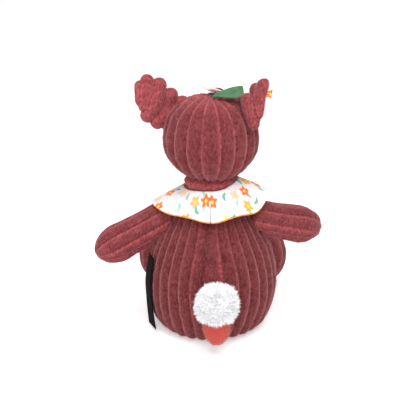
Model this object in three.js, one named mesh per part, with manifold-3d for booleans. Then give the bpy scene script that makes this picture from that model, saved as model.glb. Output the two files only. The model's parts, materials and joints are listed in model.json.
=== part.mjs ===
// A seated plush deer in wide-wale cord, with a printed collar, felt flower and pompom tail.
// Millimetres, +Z up. The deer faces +Y, and its left side is -X.
// The origin is the middle of the flat seat that it sits on.

import * as THREE from 'three';
import { mergeVertices } from 'three/addons/utils/BufferGeometryUtils.js';
import Module from 'manifold-3d';

const wasm = await Module();
wasm.setup();

// Cloth, clearances and seams
const COVER_WALL = 3; // cord fabric with its pile
const COTTON = 0.8; // printed cotton, and its lining
const FELT = 2;
const GAP = 0.3; // between pieces that touch
const SEAM_GAP = 0.3; // between two panels of one cover
const MOVING_GAP = 0.6; // between a limb and what it turns against
const WALE_PITCH = 13; // from one cord ridge to the next
const WALE_DEPTH = 1.6; // from a ridge down to the groove beside it

// Torso: half widths at heights above the seat
const TORSO_HEIGHT = 122;
const SEAT_RADIUS = 41;
const HAUNCH_RADIUS = 51;
const HAUNCH_HEIGHT = 0.107 * TORSO_HEIGHT;
const BELLY_RADIUS = 58;
const BELLY_HEIGHT = 0.361 * TORSO_HEIGHT;
const CHEST_RADIUS = 51;
const CHEST_HEIGHT = 0.631 * TORSO_HEIGHT;
const SHOULDER_RADIUS = 37;
const SHOULDER_HEIGHT = 0.836 * TORSO_HEIGHT;
const NECK_RADIUS = 22;
const SIDE_SEAM_TURN = 18; // degrees behind straight out
const BACK_WALE_TURN = -3.6; // degrees from straight behind to the nearest groove
const POUCH_RADIUS = 26;
const POUCH_BASE_RADIUS = 19;
const POUCH_HEIGHT = 20;

// Neck and head
const NECK_HEIGHT = 10; // from the top of the torso to the lowest point of the head
const HEAD_WIDTH = 82.6;
const HEAD_HEIGHT = 73;
const HEAD_FORWARD = 4;
const HEAD_NOD = 15; // degrees either way
const NECK_OPENING = 16;

// Face
const MUZZLE_WIDTH = 44;
const MUZZLE_HEIGHT = 33;
const MUZZLE_LENGTH = 36;
const MUZZLE_SINK = 4; // its middle lies this far inside the front of the head
const MUZZLE_DROP = 12; // its middle lies this far under the middle of the head
const NOSE_WIDTH = 16;
const NOSE_HEIGHT = 11;
const NOSE_DEPTH = 7;
const NOSE_RISE = 32; // degrees above the tip of the muzzle
const THREAD_RADIUS = 0.9;
const MOUTH_TOP = 12; // degrees above the tip of the muzzle
const MOUTH_BOTTOM = -14;
const SMILE_SPREAD = 24; // degrees to either side
const SMILE_RISE = 9;
const EYE_RADIUS = 5;
const EYE_DOME = 4.2;
const EYE_SIDE = 19;
const EYE_RISE = 8; // above the middle of the head
const SHANK_RADIUS = 1.8;
const SHANK_LENGTH = 9;
const WASHER_RADIUS = 5;
const WASHER_THICKNESS = 1.5;
const WASHER_SAG = 1; // the cover curves down past the washer's rim by less than this

// Ears
const EAR_LENGTH = 35; // from the head to the tip
const EAR_WIDTH = 38; // along its widest wale
const EAR_WALL = 5; // its padded cord back
const EAR_GROOVE = 2.4;
const EAR_NOTCH = 4.5; // between the round ends of two wales
const LEFT_EAR_CUP = 8; // how far its edges curl past its middle
const RIGHT_EAR_CUP = 2;
const RIGHT_EAR_CURL = 6; // how far its tip curls forwards
const RIGHT_EAR_SET = 3; // its wales lie this far to the lower side of its middle
const EAR_HEM = 1.5; // from the edge of the cord back to the edge of the lining
const EAR_ROOT_SINK = 7;
const LEFT_EAR_SIDE = 33;
const RIGHT_EAR_SIDE = 28;
const LEFT_EAR_AHEAD = 3; // in front of the middle of the head
const RIGHT_EAR_AHEAD = 0;
const EAR_WALE_SPREADS = [0.9, 1, 0.84]; // lengths of its wales as shares of its width, from the root
const LEFT_EAR_SLANT = 16; // degrees that its wales run aslant
const RIGHT_EAR_SLANT = 2;
const LEFT_EAR_LEAN = 50; // degrees out from upright
const RIGHT_EAR_LEAN = 38;
const LEFT_EAR_BACK = 6; // degrees back from upright
const RIGHT_EAR_BACK = 45;
const LEFT_EAR_TURN = 22; // degrees from facing forwards towards facing outwards
const RIGHT_EAR_TURN = 85;
const EAR_FORWARD = 30; // degrees that the ear folds
const EAR_BACKWARD = 12;

// Flower
const FLOWER_RADIUS = 13;
const FLOWER_CUP = 4; // how far the petals' tips stand above their middle
const FLOWER_PETALS = 5;
const PETAL_NOTCH = 3;
const FLOWER_SIDE = 6;
const FLOWER_AHEAD = 9; // in front of the middle of the head
const FLOWER_BASE_RADIUS = 6;
const FLOWER_BASE_HEIGHT = 1; // from the head to the underside of the petals
const BUTTON_RADIUS = 4.5;
const BUTTON_HEIGHT = 2.2;
const LEAF_LENGTH = 26;
const LEAF_WIDTH = 14;
const LEAF_ENDS = [0.08, 0.62]; // the stretch of a full leaf's outline that it keeps, blunt at its far end
const LEAF_SIDE = 2; // from the middle of the head to the leaf's root
const LEAF_BEHIND = 16; // from the middle of the flower back to the leaf
const LEAF_TILT = 25; // degrees that its face turns up towards the back
const LEAF_SINK = 0.6; // from the head in to the leaf's middle line at its root
const LEAF_RISE = 9; // degrees that it climbs from its root
const LEAF_FOLD = 1.5;

// Collar
const COLLAR_SIDE_REACH = 51; // from the middle of the neck to the outer edge
const COLLAR_BACK_REACH = 40;
const COLLAR_CORNER = 1.5; // how round it is from side to back: 1 is straight and 2 is an oval
const COLLAR_BACK_DROP = 21; // from the inner edge to the outer edge
const COLLAR_SLIT = 0.8; // degrees left open on either side of each slit
const COLLAR_RIPPLE = 0.9;
const COLLAR_RIPPLES = 3;
const LEFT_COLLAR_REST = -4.5; // above the top of the arm where it is sewn on
const RIGHT_COLLAR_REST = 1.5;
const LEFT_COLLAR_LIFT = 5; // how far its inner edge rides up the neck at the side
const RIGHT_COLLAR_LIFT = 11;
const BACK_COLLAR_LIFT = 6.5;

// Arms
const ARM_LENGTH = 68; // from the shoulder seam to the tip
const ARM_RADIUS = 16;
const ARM_ROOT_RADIUS = 14;
const ARM_TIP_RADIUS = 14.5; // where the tip starts to round off
const ARM_TIP_LENGTH = 23;
const ARM_ROOT_SINK = 9;
const ARM_BELOW_NECK = 7.5; // from the top of the torso down to the top of the arm
const LEFT_ARM_DROOP = 30; // degrees below level
const RIGHT_ARM_DROOP = 18;
const LEFT_ARM_AHEAD = 0; // degrees in front of straight out
const RIGHT_ARM_AHEAD = 30;
const ARM_FORWARD = 35; // degrees of swing
const ARM_BACKWARD = 15;

// Legs
const LEG_SPREAD = 29; // from the middle to the leg at the hip
const LEFT_FOOT_SPREAD = 49;
const RIGHT_FOOT_SPREAD = 54;
const LEG_LENGTH = 47; // from the hip seam to the sole
const LEG_RADIUS = 17;
const LEG_ROOT_RADIUS = 16;
const LEG_ROOT_SINK = 8;
const FOOT_WIDTH = 42;
const FOOT_HEIGHT = 57;
const FOOT_DEPTH = 26;
const SOLE_WIDTH = 33;
const SOLE_HEIGHT = 47;
const SOLE_CROWN = 3;
const LEG_CLEARANCE = 0.6; // above the ground
const HIP_RISE = 7; // the hip turns this far above the middle of the leg
const LEG_RAISE = 30; // degrees

// Tail
const TAIL_SIDE = 5;
const POMPOM_HEIGHT = 47;
const POMPOM_RADIUS = 18.5;
const POMPOM_STANDOFF = 9; // from the torso to the middle of the pompom
const TAIL_TIP_RADIUS = 11;
const TAIL_TIP_LENGTH = 25;
const TAIL_TIP_TUCK = 8; // how far it runs up into the pompom
const TAIL_ROOT_RISE = 11; // from the middle of the pompom up to the seam
const TAIL_LIFT = 45; // degrees

// Ribbon label
const LABEL_WIDTH = 16;
const LABEL_LENGTH = 65;
const LABEL_THICKNESS = 1;
const LABEL_BELOW_ARM = 14;
const LABEL_BULGE = 0.7; // how far it stands off the belly
const LABEL_TUCK = 4; // how far its free end curls back in

// Facets
const POINTS_PER_WALE = 3;
const ROUND_SIDES = 24;
const CLEARANCE_SIDES = 36;
const INNER_SIDES = 14;
const SMALL_SIDES = 12;
const POMPOM_SIDES = 18;
const TORSO_RINGS = 8;
const HEAD_RINGS = 8;
const LIMB_RINGS = 7;
const LEG_SIDES = 14;
const INNER_RINGS = 6;
const SMALL_RINGS = 6;
const EAR_COLUMNS = 6;
const COLLAR_STEPS = [15, 2]; // round the neck, and outwards
const POINTS_PER_PETAL = 4;
const THREAD_SEGMENTS = 3; // to half a turn
const SWEEP_STEP = 15; // degrees between the positions that clear a joint
const FAR = 400; // beyond every piece
const WELD = 1e-4;

const up = new THREE.Vector3(0, 0, 1);
const radians = THREE.MathUtils.degToRad;
const point = (x, y, z) => new THREE.Vector3(x, y, z);
const flat = (x, y) => new THREE.Vector2(x, y);
const count = (length, make) => Array.from({ length }, (_, i) => make(i));

// Finishes

const finish = (color, roughness) => new THREE.MeshStandardMaterial({ color, roughness, metalness: 0 });

const burgundyCord = finish(0x86404a, 0.95);
const printedCotton = finish(0xf2eeec, 0.9);
const orangeLining = finish(0xe59a4c, 0.9);
const creamPlush = finish(0xefe3d2, 0.95);
const pinkFelt = finish(0xf6cfca, 1);
const greenFelt = finish(0x5c8f60, 1);
const brownThread = finish(0x4a2a28, 0.8);
const coralVelour = finish(0xcf5149, 0.95);
const whitePile = finish(0xf0eef2, 1);
const blackRibbon = finish(0x1c1418, 0.45);
const blackPlastic = finish(0x0d0b0c, 0.15);
const clearPlastic = finish(0xdedede, 0.4);
const whiteFibre = finish(0xf7f7f4, 1);
const pouchCotton = finish(0xd8d2c4, 0.9);

// Solids

function solidOf(geometry) {
  const bare = new THREE.BufferGeometry();
  bare.setAttribute('position', geometry.getAttribute('position'));
  bare.setIndex(geometry.index);
  const merged = mergeVertices(bare, WELD);
  return new wasm.Manifold(new wasm.Mesh({
    numProp: 3,
    vertProperties: Float32Array.from(merged.getAttribute('position').array),
    triVerts: Uint32Array.from(merged.index.array),
  }));
}

function geometryOf(solid) {
  const mesh = solid.getMesh();
  const geometry = new THREE.BufferGeometry();
  geometry.setAttribute('position', new THREE.BufferAttribute(mesh.vertProperties, 3));
  geometry.setIndex(new THREE.BufferAttribute(mesh.triVerts, 1));
  return geometry;
}

const cut = (geometry, ...tools) =>
  geometryOf(tools.reduce((rest, tool) => rest.subtract(solidOf(tool)), solidOf(geometry)));
const keep = (geometry, tool) => geometryOf(solidOf(geometry).intersect(solidOf(tool)));
const join = (first, second) => geometryOf(solidOf(first).add(solidOf(second)));

/** A box between two corners. */
function block(from, to) {
  const size = to.clone().sub(from);
  const middle = from.clone().add(to).multiplyScalar(0.5);
  return new THREE.BoxGeometry(size.x, size.y, size.z).translate(middle.x, middle.y, middle.z);
}

/** A closed body from points and triangles. */
function body(points, faces) {
  const geometry = new THREE.BufferGeometry().setFromPoints(points);
  geometry.setIndex(faces);
  return geometry;
}

/** A closed skin over rings of points that run anticlockwise about the way from start to end. */
function skin(rings, start, end) {
  const sides = rings[0].length;
  const last = 1 + rings.length * sides;
  const at = (ring, side) => 1 + ring * sides + (side % sides);
  const faces = [];
  for (let side = 0; side < sides; side += 1) {
    faces.push(0, at(0, side + 1), at(0, side));
    faces.push(last, at(rings.length - 1, side), at(rings.length - 1, side + 1));
    for (let ring = 0; ring < rings.length - 1; ring += 1) {
      faces.push(at(ring, side), at(ring, side + 1), at(ring + 1, side + 1));
      faces.push(at(ring, side), at(ring + 1, side + 1), at(ring + 1, side));
    }
  }
  return body([start, ...rings.flat(), end], faces);
}

// Rings: cord for what shows, within for what fits inside a round, around for what clears it

const waleCount = (radius) => Math.round((2 * Math.PI * radius) / WALE_PITCH);

/** Each wale is a flat-topped ridge between two grooves, and a groove lies at the back or turned from it. */
const cord = (wales, turn = 0) => (halfWidth, halfDepth) => {
  const groove = Math.min(WALE_DEPTH, 0.15 * Math.min(halfWidth, halfDepth));
  const sides = wales * POINTS_PER_WALE;
  return count(sides, (i) => {
    const angle = (2 * Math.PI * i) / sides - Math.PI / 2 + radians(turn);
    const inset = i % POINTS_PER_WALE === 0 ? groove : 0;
    return [(halfWidth - inset) * Math.cos(angle), (halfDepth - inset) * Math.sin(angle)];
  });
};

const within = (sides) => (halfWidth, halfDepth) =>
  count(sides, (i) => {
    const angle = (2 * Math.PI * i) / sides - Math.PI / 2;
    return [halfWidth * Math.cos(angle), halfDepth * Math.sin(angle)];
  });

const around = (sides) => (halfWidth, halfDepth) => {
  const outside = 1 / Math.cos(Math.PI / sides);
  return within(sides)(halfWidth * outside, halfDepth * outside);
};

// Turned forms, about their own Z axis

/** Points of an outline of radius and height that runs upwards, moved out square to it. */
function outline(curve, steps, offset = 0) {
  return count(steps + 1, (i) => {
    const at = curve.getPointAt(i / steps);
    const along = curve.getTangentAt(i / steps);
    return flat(at.x + along.y * offset, at.y - along.x * offset);
  });
}

/** A form turned from an outline, with rings of the given kind. */
function turned(points, ring) {
  const open = points.filter((at) => at.x > WELD);
  const rings = open.map((at) => ring(at.x, at.x).map(([x, y]) => point(x, y, at.y)));
  return skin(rings, point(0, 0, points[0].y), point(0, 0, points.at(-1).y));
}

const pillar = (radius, from, to, ring) => turned([flat(radius, from), flat(radius, to)], ring);

/** Half an upright ellipse, from its lower to its upper pole. */
const egg = (radius, halfHeight) =>
  new THREE.EllipseCurve(0, 0, radius, halfHeight, -Math.PI / 2, Math.PI / 2);

// Places

/** A frame at a place, with Z along one direction and Y as near as can be to another. */
function frameAt(origin, along, nearly) {
  const z = along.clone().normalize();
  const x = nearly.clone().cross(z).normalize();
  const y = z.clone().cross(x);
  return new THREE.Matrix4().makeBasis(x, y, z).setPosition(origin);
}

const placed = (geometry, frame) => geometry.clone().applyMatrix4(frame);

function turnAbout(pivot, axis, degrees) {
  const turn = new THREE.Matrix4().makeRotationAxis(axis.clone().normalize(), radians(degrees));
  const away = new THREE.Matrix4().makeTranslation(-pivot.x, -pivot.y, -pivot.z);
  return new THREE.Matrix4().makeTranslation(pivot.x, pivot.y, pivot.z).multiply(turn).multiply(away);
}

/** Cuts a moving piece clear of an obstacle through the whole range of its joint. */
function clearThroughout(geometry, obstacle, joint) {
  const steps = Math.ceil((joint.to - joint.from) / SWEEP_STEP);
  const angles = count(steps + 1, (i) => joint.from + ((joint.to - joint.from) * i) / steps);
  const tools = angles.map((angle) => placed(obstacle, turnAbout(joint.pivot, joint.axis, -angle)));
  return cut(geometry, ...tools);
}

/** Two panels of a cover, on either side of the plane through a frame's Y and Z. */
function panels(cover, frame) {
  const half = SEAM_GAP / 2;
  const positive = block(point(half, -FAR, -FAR), point(FAR, FAR, FAR));
  const negative = block(point(-FAR, -FAR, -FAR), point(-half, FAR, FAR));
  return [keep(cover, placed(positive, frame)), keep(cover, placed(negative, frame))];
}

/** A slab of cloth over a grid of places, thickened on the side that U cross V points to. */
function cloth(placeAt, [long, wide], thicknessAt) {
  const lower = [];
  const upper = [];
  const nudge = 1e-3;
  for (let i = 0; i <= long; i += 1) {
    for (let j = 0; j <= wide; j += 1) {
      const [u, v] = [i / long, j / wide];
      const alongU = placeAt(u + nudge, v).sub(placeAt(u - nudge, v));
      const alongV = placeAt(u, v + nudge).sub(placeAt(u, v - nudge));
      const out = alongU.cross(alongV).normalize();
      lower.push(placeAt(u, v));
      upper.push(placeAt(u, v).addScaledVector(out, thicknessAt(u, v)));
    }
  }
  const top = lower.length;
  const at = (i, j) => i * (wide + 1) + j;
  const faces = [];
  const quad = (a, b, c, d) => faces.push(a, b, c, a, c, d);
  for (let i = 0; i < long; i += 1) {
    for (let j = 0; j < wide; j += 1) {
      quad(top + at(i, j), top + at(i + 1, j), top + at(i + 1, j + 1), top + at(i, j + 1));
      quad(at(i, j), at(i, j + 1), at(i + 1, j + 1), at(i + 1, j));
    }
    quad(at(i, 0), at(i + 1, 0), top + at(i + 1, 0), top + at(i, 0));
    quad(at(i + 1, wide), at(i, wide), top + at(i, wide), top + at(i + 1, wide));
  }
  for (let j = 0; j < wide; j += 1) {
    quad(at(0, j + 1), at(0, j), top + at(0, j), top + at(0, j + 1));
    quad(at(long, j), at(long, j + 1), top + at(long, j + 1), top + at(long, j));
  }
  return body([...lower, ...upper], faces);
}

// Scene graph: a group for each body that moves, with its origin on its joint

const plushDeer = new THREE.Group();
plushDeer.name = 'plush_deer';
plushDeer.userData.pivot = point(0, 0, 0);

function movingGroup(parent, pivot) {
  const group = new THREE.Group();
  group.userData.pivot = pivot;
  group.position.copy(pivot).sub(parent.userData.pivot);
  parent.add(group);
  return group;
}

function addPiece(group, name, geometry, material) {
  const { x, y, z } = group.userData.pivot;
  const mesh = new THREE.Mesh(geometry.clone().translate(-x, -y, -z), material);
  mesh.name = name;
  group.add(mesh);
}

const SIDES = { left: -1, right: 1 };

// Torso

const torsoCurve = new THREE.SplineCurve([
  flat(SEAT_RADIUS, 0),
  flat(HAUNCH_RADIUS, HAUNCH_HEIGHT),
  flat(BELLY_RADIUS, BELLY_HEIGHT),
  flat(CHEST_RADIUS, CHEST_HEIGHT),
  flat(SHOULDER_RADIUS, SHOULDER_HEIGHT),
  flat(NECK_RADIUS, TORSO_HEIGHT),
]);
const torsoForm = (ring, offset) => turned(outline(torsoCurve, TORSO_RINGS, offset), ring);
const torsoInside = (offset) => turned(outline(torsoCurve, INNER_RINGS, -offset), within(INNER_SIDES));
const torsoClearance = torsoForm(around(CLEARANCE_SIDES), MOVING_GAP);
const torsoSide = torsoCurve.getPoints(300);

/** Half the width of the torso at a height. */
function torsoRadius(height) {
  const above = Math.max(1, torsoSide.findIndex((at) => at.y >= height));
  const [low, high] = [torsoSide[above - 1], torsoSide[above]];
  return THREE.MathUtils.mapLinear(height, low.y, high.y, low.x, high.x);
}

/** The height of the torso's shoulders at a distance from the middle. */
function torsoTop(radius) {
  const beyond = torsoSide.findLastIndex((at) => at.x >= radius);
  const [low, high] = [torsoSide[beyond], torsoSide[beyond + 1]];
  return THREE.MathUtils.mapLinear(radius, low.x, high.x, low.y, high.y);
}

/** The turn from straight out to where a side seam runs, a little behind. */
const sideSeamTurn = (side) => new THREE.Matrix4().makeRotationZ(radians(-side * SIDE_SEAM_TURN));

function addTorso() {
  const panelRadius = SEAT_RADIUS - COVER_WALL;
  const bore = NECK_RADIUS - COVER_WALL;
  const cover = cut(
    torsoForm(cord(waleCount(BELLY_RADIUS), BACK_WALE_TURN), 0),
    torsoInside(COVER_WALL),
    pillar(panelRadius + GAP, -COVER_WALL, 2 * COVER_WALL, around(ROUND_SIDES)),
    pillar(bore, TORSO_HEIGHT - 2 * COVER_WALL, TORSO_HEIGHT + COVER_WALL, around(ROUND_SIDES)),
  );
  const behind = (side, edge) =>
    placed(block(point(-FAR, -FAR, -FAR), point(FAR, edge, FAR)), sideSeamTurn(side));
  const [rightHalf, leftHalf] = panels(cover, new THREE.Matrix4());
  const edge = SEAM_GAP / 2;
  addPiece(plushDeer, 'torso_left_back_panel', keep(leftHalf, behind(SIDES.left, -edge)), burgundyCord);
  addPiece(plushDeer, 'torso_right_back_panel', keep(rightHalf, behind(SIDES.right, -edge)), burgundyCord);
  const back = keep(behind(SIDES.left, edge), behind(SIDES.right, edge));
  addPiece(plushDeer, 'torso_belly_panel', cut(cover, back), burgundyCord);
  addPiece(plushDeer, 'seat_panel', pillar(panelRadius, 0, COVER_WALL, within(ROUND_SIDES)), burgundyCord);

  const floor = COVER_WALL + GAP;
  const pouchCurve = new THREE.SplineCurve([
    flat(POUCH_BASE_RADIUS, floor),
    flat(POUCH_RADIUS, floor + 0.35 * POUCH_HEIGHT),
    flat(0.8 * POUCH_RADIUS, floor + 0.8 * POUCH_HEIGHT),
    flat(0, floor + POUCH_HEIGHT),
  ]);
  const pouch = turned(outline(pouchCurve, SMALL_RINGS), within(SMALL_SIDES));
  addPiece(plushDeer, 'pellet_pouch', pouch, pouchCotton);

  const stuffing = keep(
    torsoInside(COVER_WALL + GAP),
    pillar(FAR, floor, TORSO_HEIGHT, within(SMALL_SIDES)),
  );
  const filling = cut(
    join(stuffing, pillar(bore - GAP, TORSO_HEIGHT - 2 * COVER_WALL, TORSO_HEIGHT, within(ROUND_SIDES))),
    turned(outline(pouchCurve, SMALL_RINGS, GAP), around(SMALL_SIDES)),
    pillar(POUCH_BASE_RADIUS + GAP, 0, floor + GAP, around(SMALL_SIDES)),
  );
  addPiece(plushDeer, 'torso_filling', filling, whiteFibre);
}

// Head and neck

const headRadius = HEAD_WIDTH / 2;
const headMiddle = point(0, HEAD_FORWARD, TORSO_HEIGHT + NECK_HEIGHT + HEAD_HEIGHT / 2);
const headForm = (ring, offset, rings = HEAD_RINGS) =>
  turned(outline(egg(headRadius, HEAD_HEIGHT / 2), rings, offset), ring)
    .translate(headMiddle.x, headMiddle.y, headMiddle.z);
const headInside = (offset) => headForm(within(INNER_SIDES), -offset, INNER_RINGS);
const headSurface = headForm(around(ROUND_SIDES), GAP);
const headClearance = headForm(around(ROUND_SIDES), MOVING_GAP);

const nod = { pivot: headMiddle, axis: point(1, 0, 0), from: -HEAD_NOD, to: HEAD_NOD };
const neckGroup = movingGroup(plushDeer, point(0, 0, TORSO_HEIGHT));
const headGroup = movingGroup(neckGroup, nod.pivot);

/** The place on top of the head over a point of its plan. */
function onHead(x, ahead) {
  const share = (x * x + ahead * ahead) / headRadius ** 2;
  return point(x, headMiddle.y + ahead, headMiddle.z + Math.sqrt(1 - share) * (HEAD_HEIGHT / 2));
}

/** The way that the head faces at a place on it. */
function headFacing(at) {
  const from = at.clone().sub(headMiddle);
  const stretch = (headRadius / (HEAD_HEIGHT / 2)) ** 2;
  return point(from.x, from.y, from.z * stretch).normalize();
}

function addNeck() {
  const from = TORSO_HEIGHT + GAP;
  const bore = NECK_RADIUS - COVER_WALL;
  const band = cut(
    pillar(NECK_RADIUS, from, headMiddle.z, cord(waleCount(NECK_RADIUS))),
    pillar(bore, from - COVER_WALL, headMiddle.z + COVER_WALL, around(ROUND_SIDES)),
  );
  const core = pillar(bore - GAP, from, headMiddle.z, within(SMALL_SIDES));
  addPiece(neckGroup, 'neck_band', clearThroughout(band, headClearance, nod), burgundyCord);
  addPiece(neckGroup, 'neck_filling', clearThroughout(core, headClearance, nod), whiteFibre);
}

const washerSeat = -COVER_WALL - WASHER_SAG;

/** A frame on the front of the head, with Z along the eye's shank and out. */
function eyeFrame(side) {
  const level = EYE_RISE / (HEAD_HEIGHT / 2);
  const ahead = Math.sqrt((1 - level ** 2) * headRadius ** 2 - EYE_SIDE ** 2);
  const at = headMiddle.clone().add(point(side * EYE_SIDE, ahead, EYE_RISE));
  return frameAt(at, headFacing(at), up);
}

function addHead() {
  const lowest = headMiddle.z - HEAD_HEIGHT / 2;
  const frames = Object.values(SIDES).map(eyeFrame);
  const shankHole = pillar(SHANK_RADIUS + GAP, -2 * COVER_WALL, 2 * COVER_WALL, around(SMALL_SIDES));
  const washerRoom = (top) => pillar(WASHER_RADIUS + GAP, -SHANK_LENGTH - GAP, top, around(SMALL_SIDES));
  const cover = cut(
    headForm(cord(waleCount(headRadius)), 0),
    headInside(COVER_WALL),
    pillar(NECK_OPENING, lowest - COVER_WALL, lowest + HEAD_HEIGHT / 4, around(ROUND_SIDES)),
    ...frames.map((frame) => placed(shankHole, frame)),
    ...frames.map((frame) => placed(washerRoom(washerSeat + GAP), frame)),
  );
  const [right, left] = panels(cover, new THREE.Matrix4());
  addPiece(headGroup, 'head_left_panel', left, burgundyCord);
  addPiece(headGroup, 'head_right_panel', right, burgundyCord);
  const filling = cut(
    headInside(COVER_WALL + GAP),
    ...frames.map((frame) => placed(washerRoom(0), frame)),
  );
  addPiece(headGroup, 'head_filling', filling, whiteFibre);
}

/** A domed eye on a shank through the cover, and the washer that holds it from behind. */
function addEye(name, side) {
  const dome = new THREE.EllipseCurve(0, GAP, EYE_RADIUS, EYE_DOME, 0, Math.PI / 2);
  const shank = [flat(SHANK_RADIUS, -SHANK_LENGTH), flat(SHANK_RADIUS, GAP)];
  const eye = turned([...shank, ...outline(dome, 5)], within(SMALL_SIDES));
  addPiece(headGroup, `${name}_eye`, placed(eye, eyeFrame(side)), blackPlastic);

  const washer = cut(
    pillar(WASHER_RADIUS, washerSeat - WASHER_THICKNESS, washerSeat, within(SMALL_SIDES)),
    pillar(SHANK_RADIUS + GAP, -SHANK_LENGTH, 0, around(SMALL_SIDES)),
  );
  addPiece(headGroup, `${name}_eye_washer`, placed(washer, eyeFrame(side)), clearPlastic);
}

// Muzzle, nose and mouth

const muzzleHalf = point(MUZZLE_WIDTH / 2, MUZZLE_LENGTH / 2, MUZZLE_HEIGHT / 2);
const muzzleMiddle = headMiddle.clone().add(point(0, headRadius - MUZZLE_SINK, -MUZZLE_DROP));

const ellipsoid = (half, ring) =>
  turned(outline(egg(1, 1), SMALL_RINGS), ring).scale(half.x, half.y, half.z);
const muzzleForm = (ring, offset) =>
  ellipsoid(muzzleHalf.clone().addScalar(offset), ring)
    .translate(muzzleMiddle.x, muzzleMiddle.y, muzzleMiddle.z);

/** A place on the muzzle, by degrees across and up from its tip. */
function onMuzzle(across, rise) {
  const level = Math.cos(radians(rise));
  return point(Math.sin(radians(across)) * level, Math.cos(radians(across)) * level, Math.sin(radians(rise)))
    .multiply(muzzleHalf)
    .add(muzzleMiddle);
}

/** A round thread along a curve. */
function thread(curve, steps) {
  const section = new THREE.Shape().absarc(0, 0, THREAD_RADIUS, 0, 2 * Math.PI);
  const along = { extrudePath: curve, steps, curveSegments: THREAD_SEGMENTS, bevelEnabled: false };
  return new THREE.ExtrudeGeometry(section, along);
}

function addMuzzle() {
  const surface = muzzleForm(around(ROUND_SIDES), GAP);
  addPiece(headGroup, 'muzzle', cut(muzzleForm(within(ROUND_SIDES), 0), headSurface), creamPlush);

  const tip = onMuzzle(0, NOSE_RISE);
  const facing = tip.clone().sub(muzzleMiddle).divide(muzzleHalf).divide(muzzleHalf);
  const pad = ellipsoid(point(NOSE_WIDTH / 2, NOSE_HEIGHT / 2, NOSE_DEPTH / 2), within(SMALL_SIDES));
  addPiece(headGroup, 'nose', cut(placed(pad, frameAt(tip, facing, up)), surface), brownThread);

  const stem = new THREE.CatmullRomCurve3(
    [0, 0.5, 1].map((share) => onMuzzle(0, THREE.MathUtils.lerp(MOUTH_TOP, MOUTH_BOTTOM, share))),
  );
  const smile = new THREE.CatmullRomCurve3(
    [-1, -0.5, 0, 0.5, 1].map((share) =>
      onMuzzle(share * SMILE_SPREAD, MOUTH_BOTTOM + SMILE_RISE * share * share)),
  );
  addPiece(headGroup, 'mouth', cut(join(thread(stem, 4), thread(smile, 8)), surface), brownThread);
}

// Ears: a cord back and a printed lining, cupped towards where the ear faces

const earPlaces = {
  left: {
    root: onHead(-LEFT_EAR_SIDE, LEFT_EAR_AHEAD),
    lean: LEFT_EAR_LEAN,
    back: LEFT_EAR_BACK,
    turn: LEFT_EAR_TURN,
    slant: LEFT_EAR_SLANT,
    cup: LEFT_EAR_CUP,
    curl: 0,
    set: 0,
  },
  right: {
    root: onHead(RIGHT_EAR_SIDE, RIGHT_EAR_AHEAD),
    lean: RIGHT_EAR_LEAN,
    back: RIGHT_EAR_BACK,
    turn: RIGHT_EAR_TURN,
    slant: RIGHT_EAR_SLANT,
    cup: RIGHT_EAR_CUP,
    curl: RIGHT_EAR_CURL,
    set: RIGHT_EAR_SET,
  },
};

/** Rows of the ear from inside the head to its tip: how far out, half width, and whether in a groove. */
function earRows() {
  const pitch = EAR_LENGTH / EAR_WALE_SPREADS.length;
  const half = EAR_WIDTH / 2;
  const root = { out: -EAR_ROOT_SINK, half: half * EAR_WALE_SPREADS[0] - EAR_NOTCH, groove: true };
  const rows = EAR_WALE_SPREADS.flatMap((spread, wale) =>
    count(POINTS_PER_WALE, (i) => ({
      out: (wale + i / POINTS_PER_WALE) * pitch,
      half: half * spread - (i === 0 ? EAR_NOTCH : 0),
      groove: i === 0,
    })));
  const tip = { out: EAR_LENGTH, half: half * EAR_WALE_SPREADS.at(-1) - 2 * EAR_NOTCH, groove: true };
  return [root, ...rows, tip];
}

function addEar(name) {
  const { root, lean, back, turn, slant, cup, curl, set } = earPlaces[name];
  const side = SIDES[name];
  const along = point(side * Math.tan(radians(lean)), -Math.tan(radians(back)), 1).normalize();
  const facing = point(side * Math.sin(radians(turn)), Math.cos(radians(turn)), 0);
  const frame = frameAt(root, along, facing);
  const fold = {
    pivot: root,
    axis: along.clone().cross(facing),
    from: -EAR_BACKWARD,
    to: EAR_FORWARD,
  };
  const group = movingGroup(headGroup, root);

  const rows = earRows();
  const steps = [rows.length - 1, EAR_COLUMNS];
  const surface = (u, across, margin, lift) => {
    const at = THREE.MathUtils.clamp(u, 0, 1) * steps[0];
    const [before, after] = [rows[Math.floor(at)], rows[Math.ceil(at)]];
    const half = THREE.MathUtils.lerp(before.half, after.half, at % 1) - margin;
    const reach = THREE.MathUtils.lerp(before.out, after.out, at % 1) - margin * u + (u - at / steps[0]);
    const aside = (across * half) / (EAR_WIDTH / 2);
    const bend = cup * aside ** 2 + curl * (Math.max(0, reach) / EAR_LENGTH) ** 2;
    const aslant = side * Math.tan(radians(slant)) * across * half;
    return point(across * half + set, bend + lift, reach - aslant);
  };
  const ridge = (u) => EAR_WALL - (rows[Math.round(u * steps[0])].groove ? EAR_GROOVE : 0);
  const cordBack = cloth((u, v) => surface(u, 1 - 2 * v, 0, 0), steps, ridge);
  const lining = cloth((u, v) => surface(u, 2 * v - 1, EAR_HEM, 2 * GAP), steps, () => COTTON);
  const fitted = (layer) => clearThroughout(placed(layer, frame), headClearance, fold);
  addPiece(group, `${name}_ear_back`, fitted(cordBack), burgundyCord);
  addPiece(group, `${name}_ear_lining`, fitted(lining), printedCotton);
}

// Flower: cupped felt petals with a button in the middle, and a folded leaf behind

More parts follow.
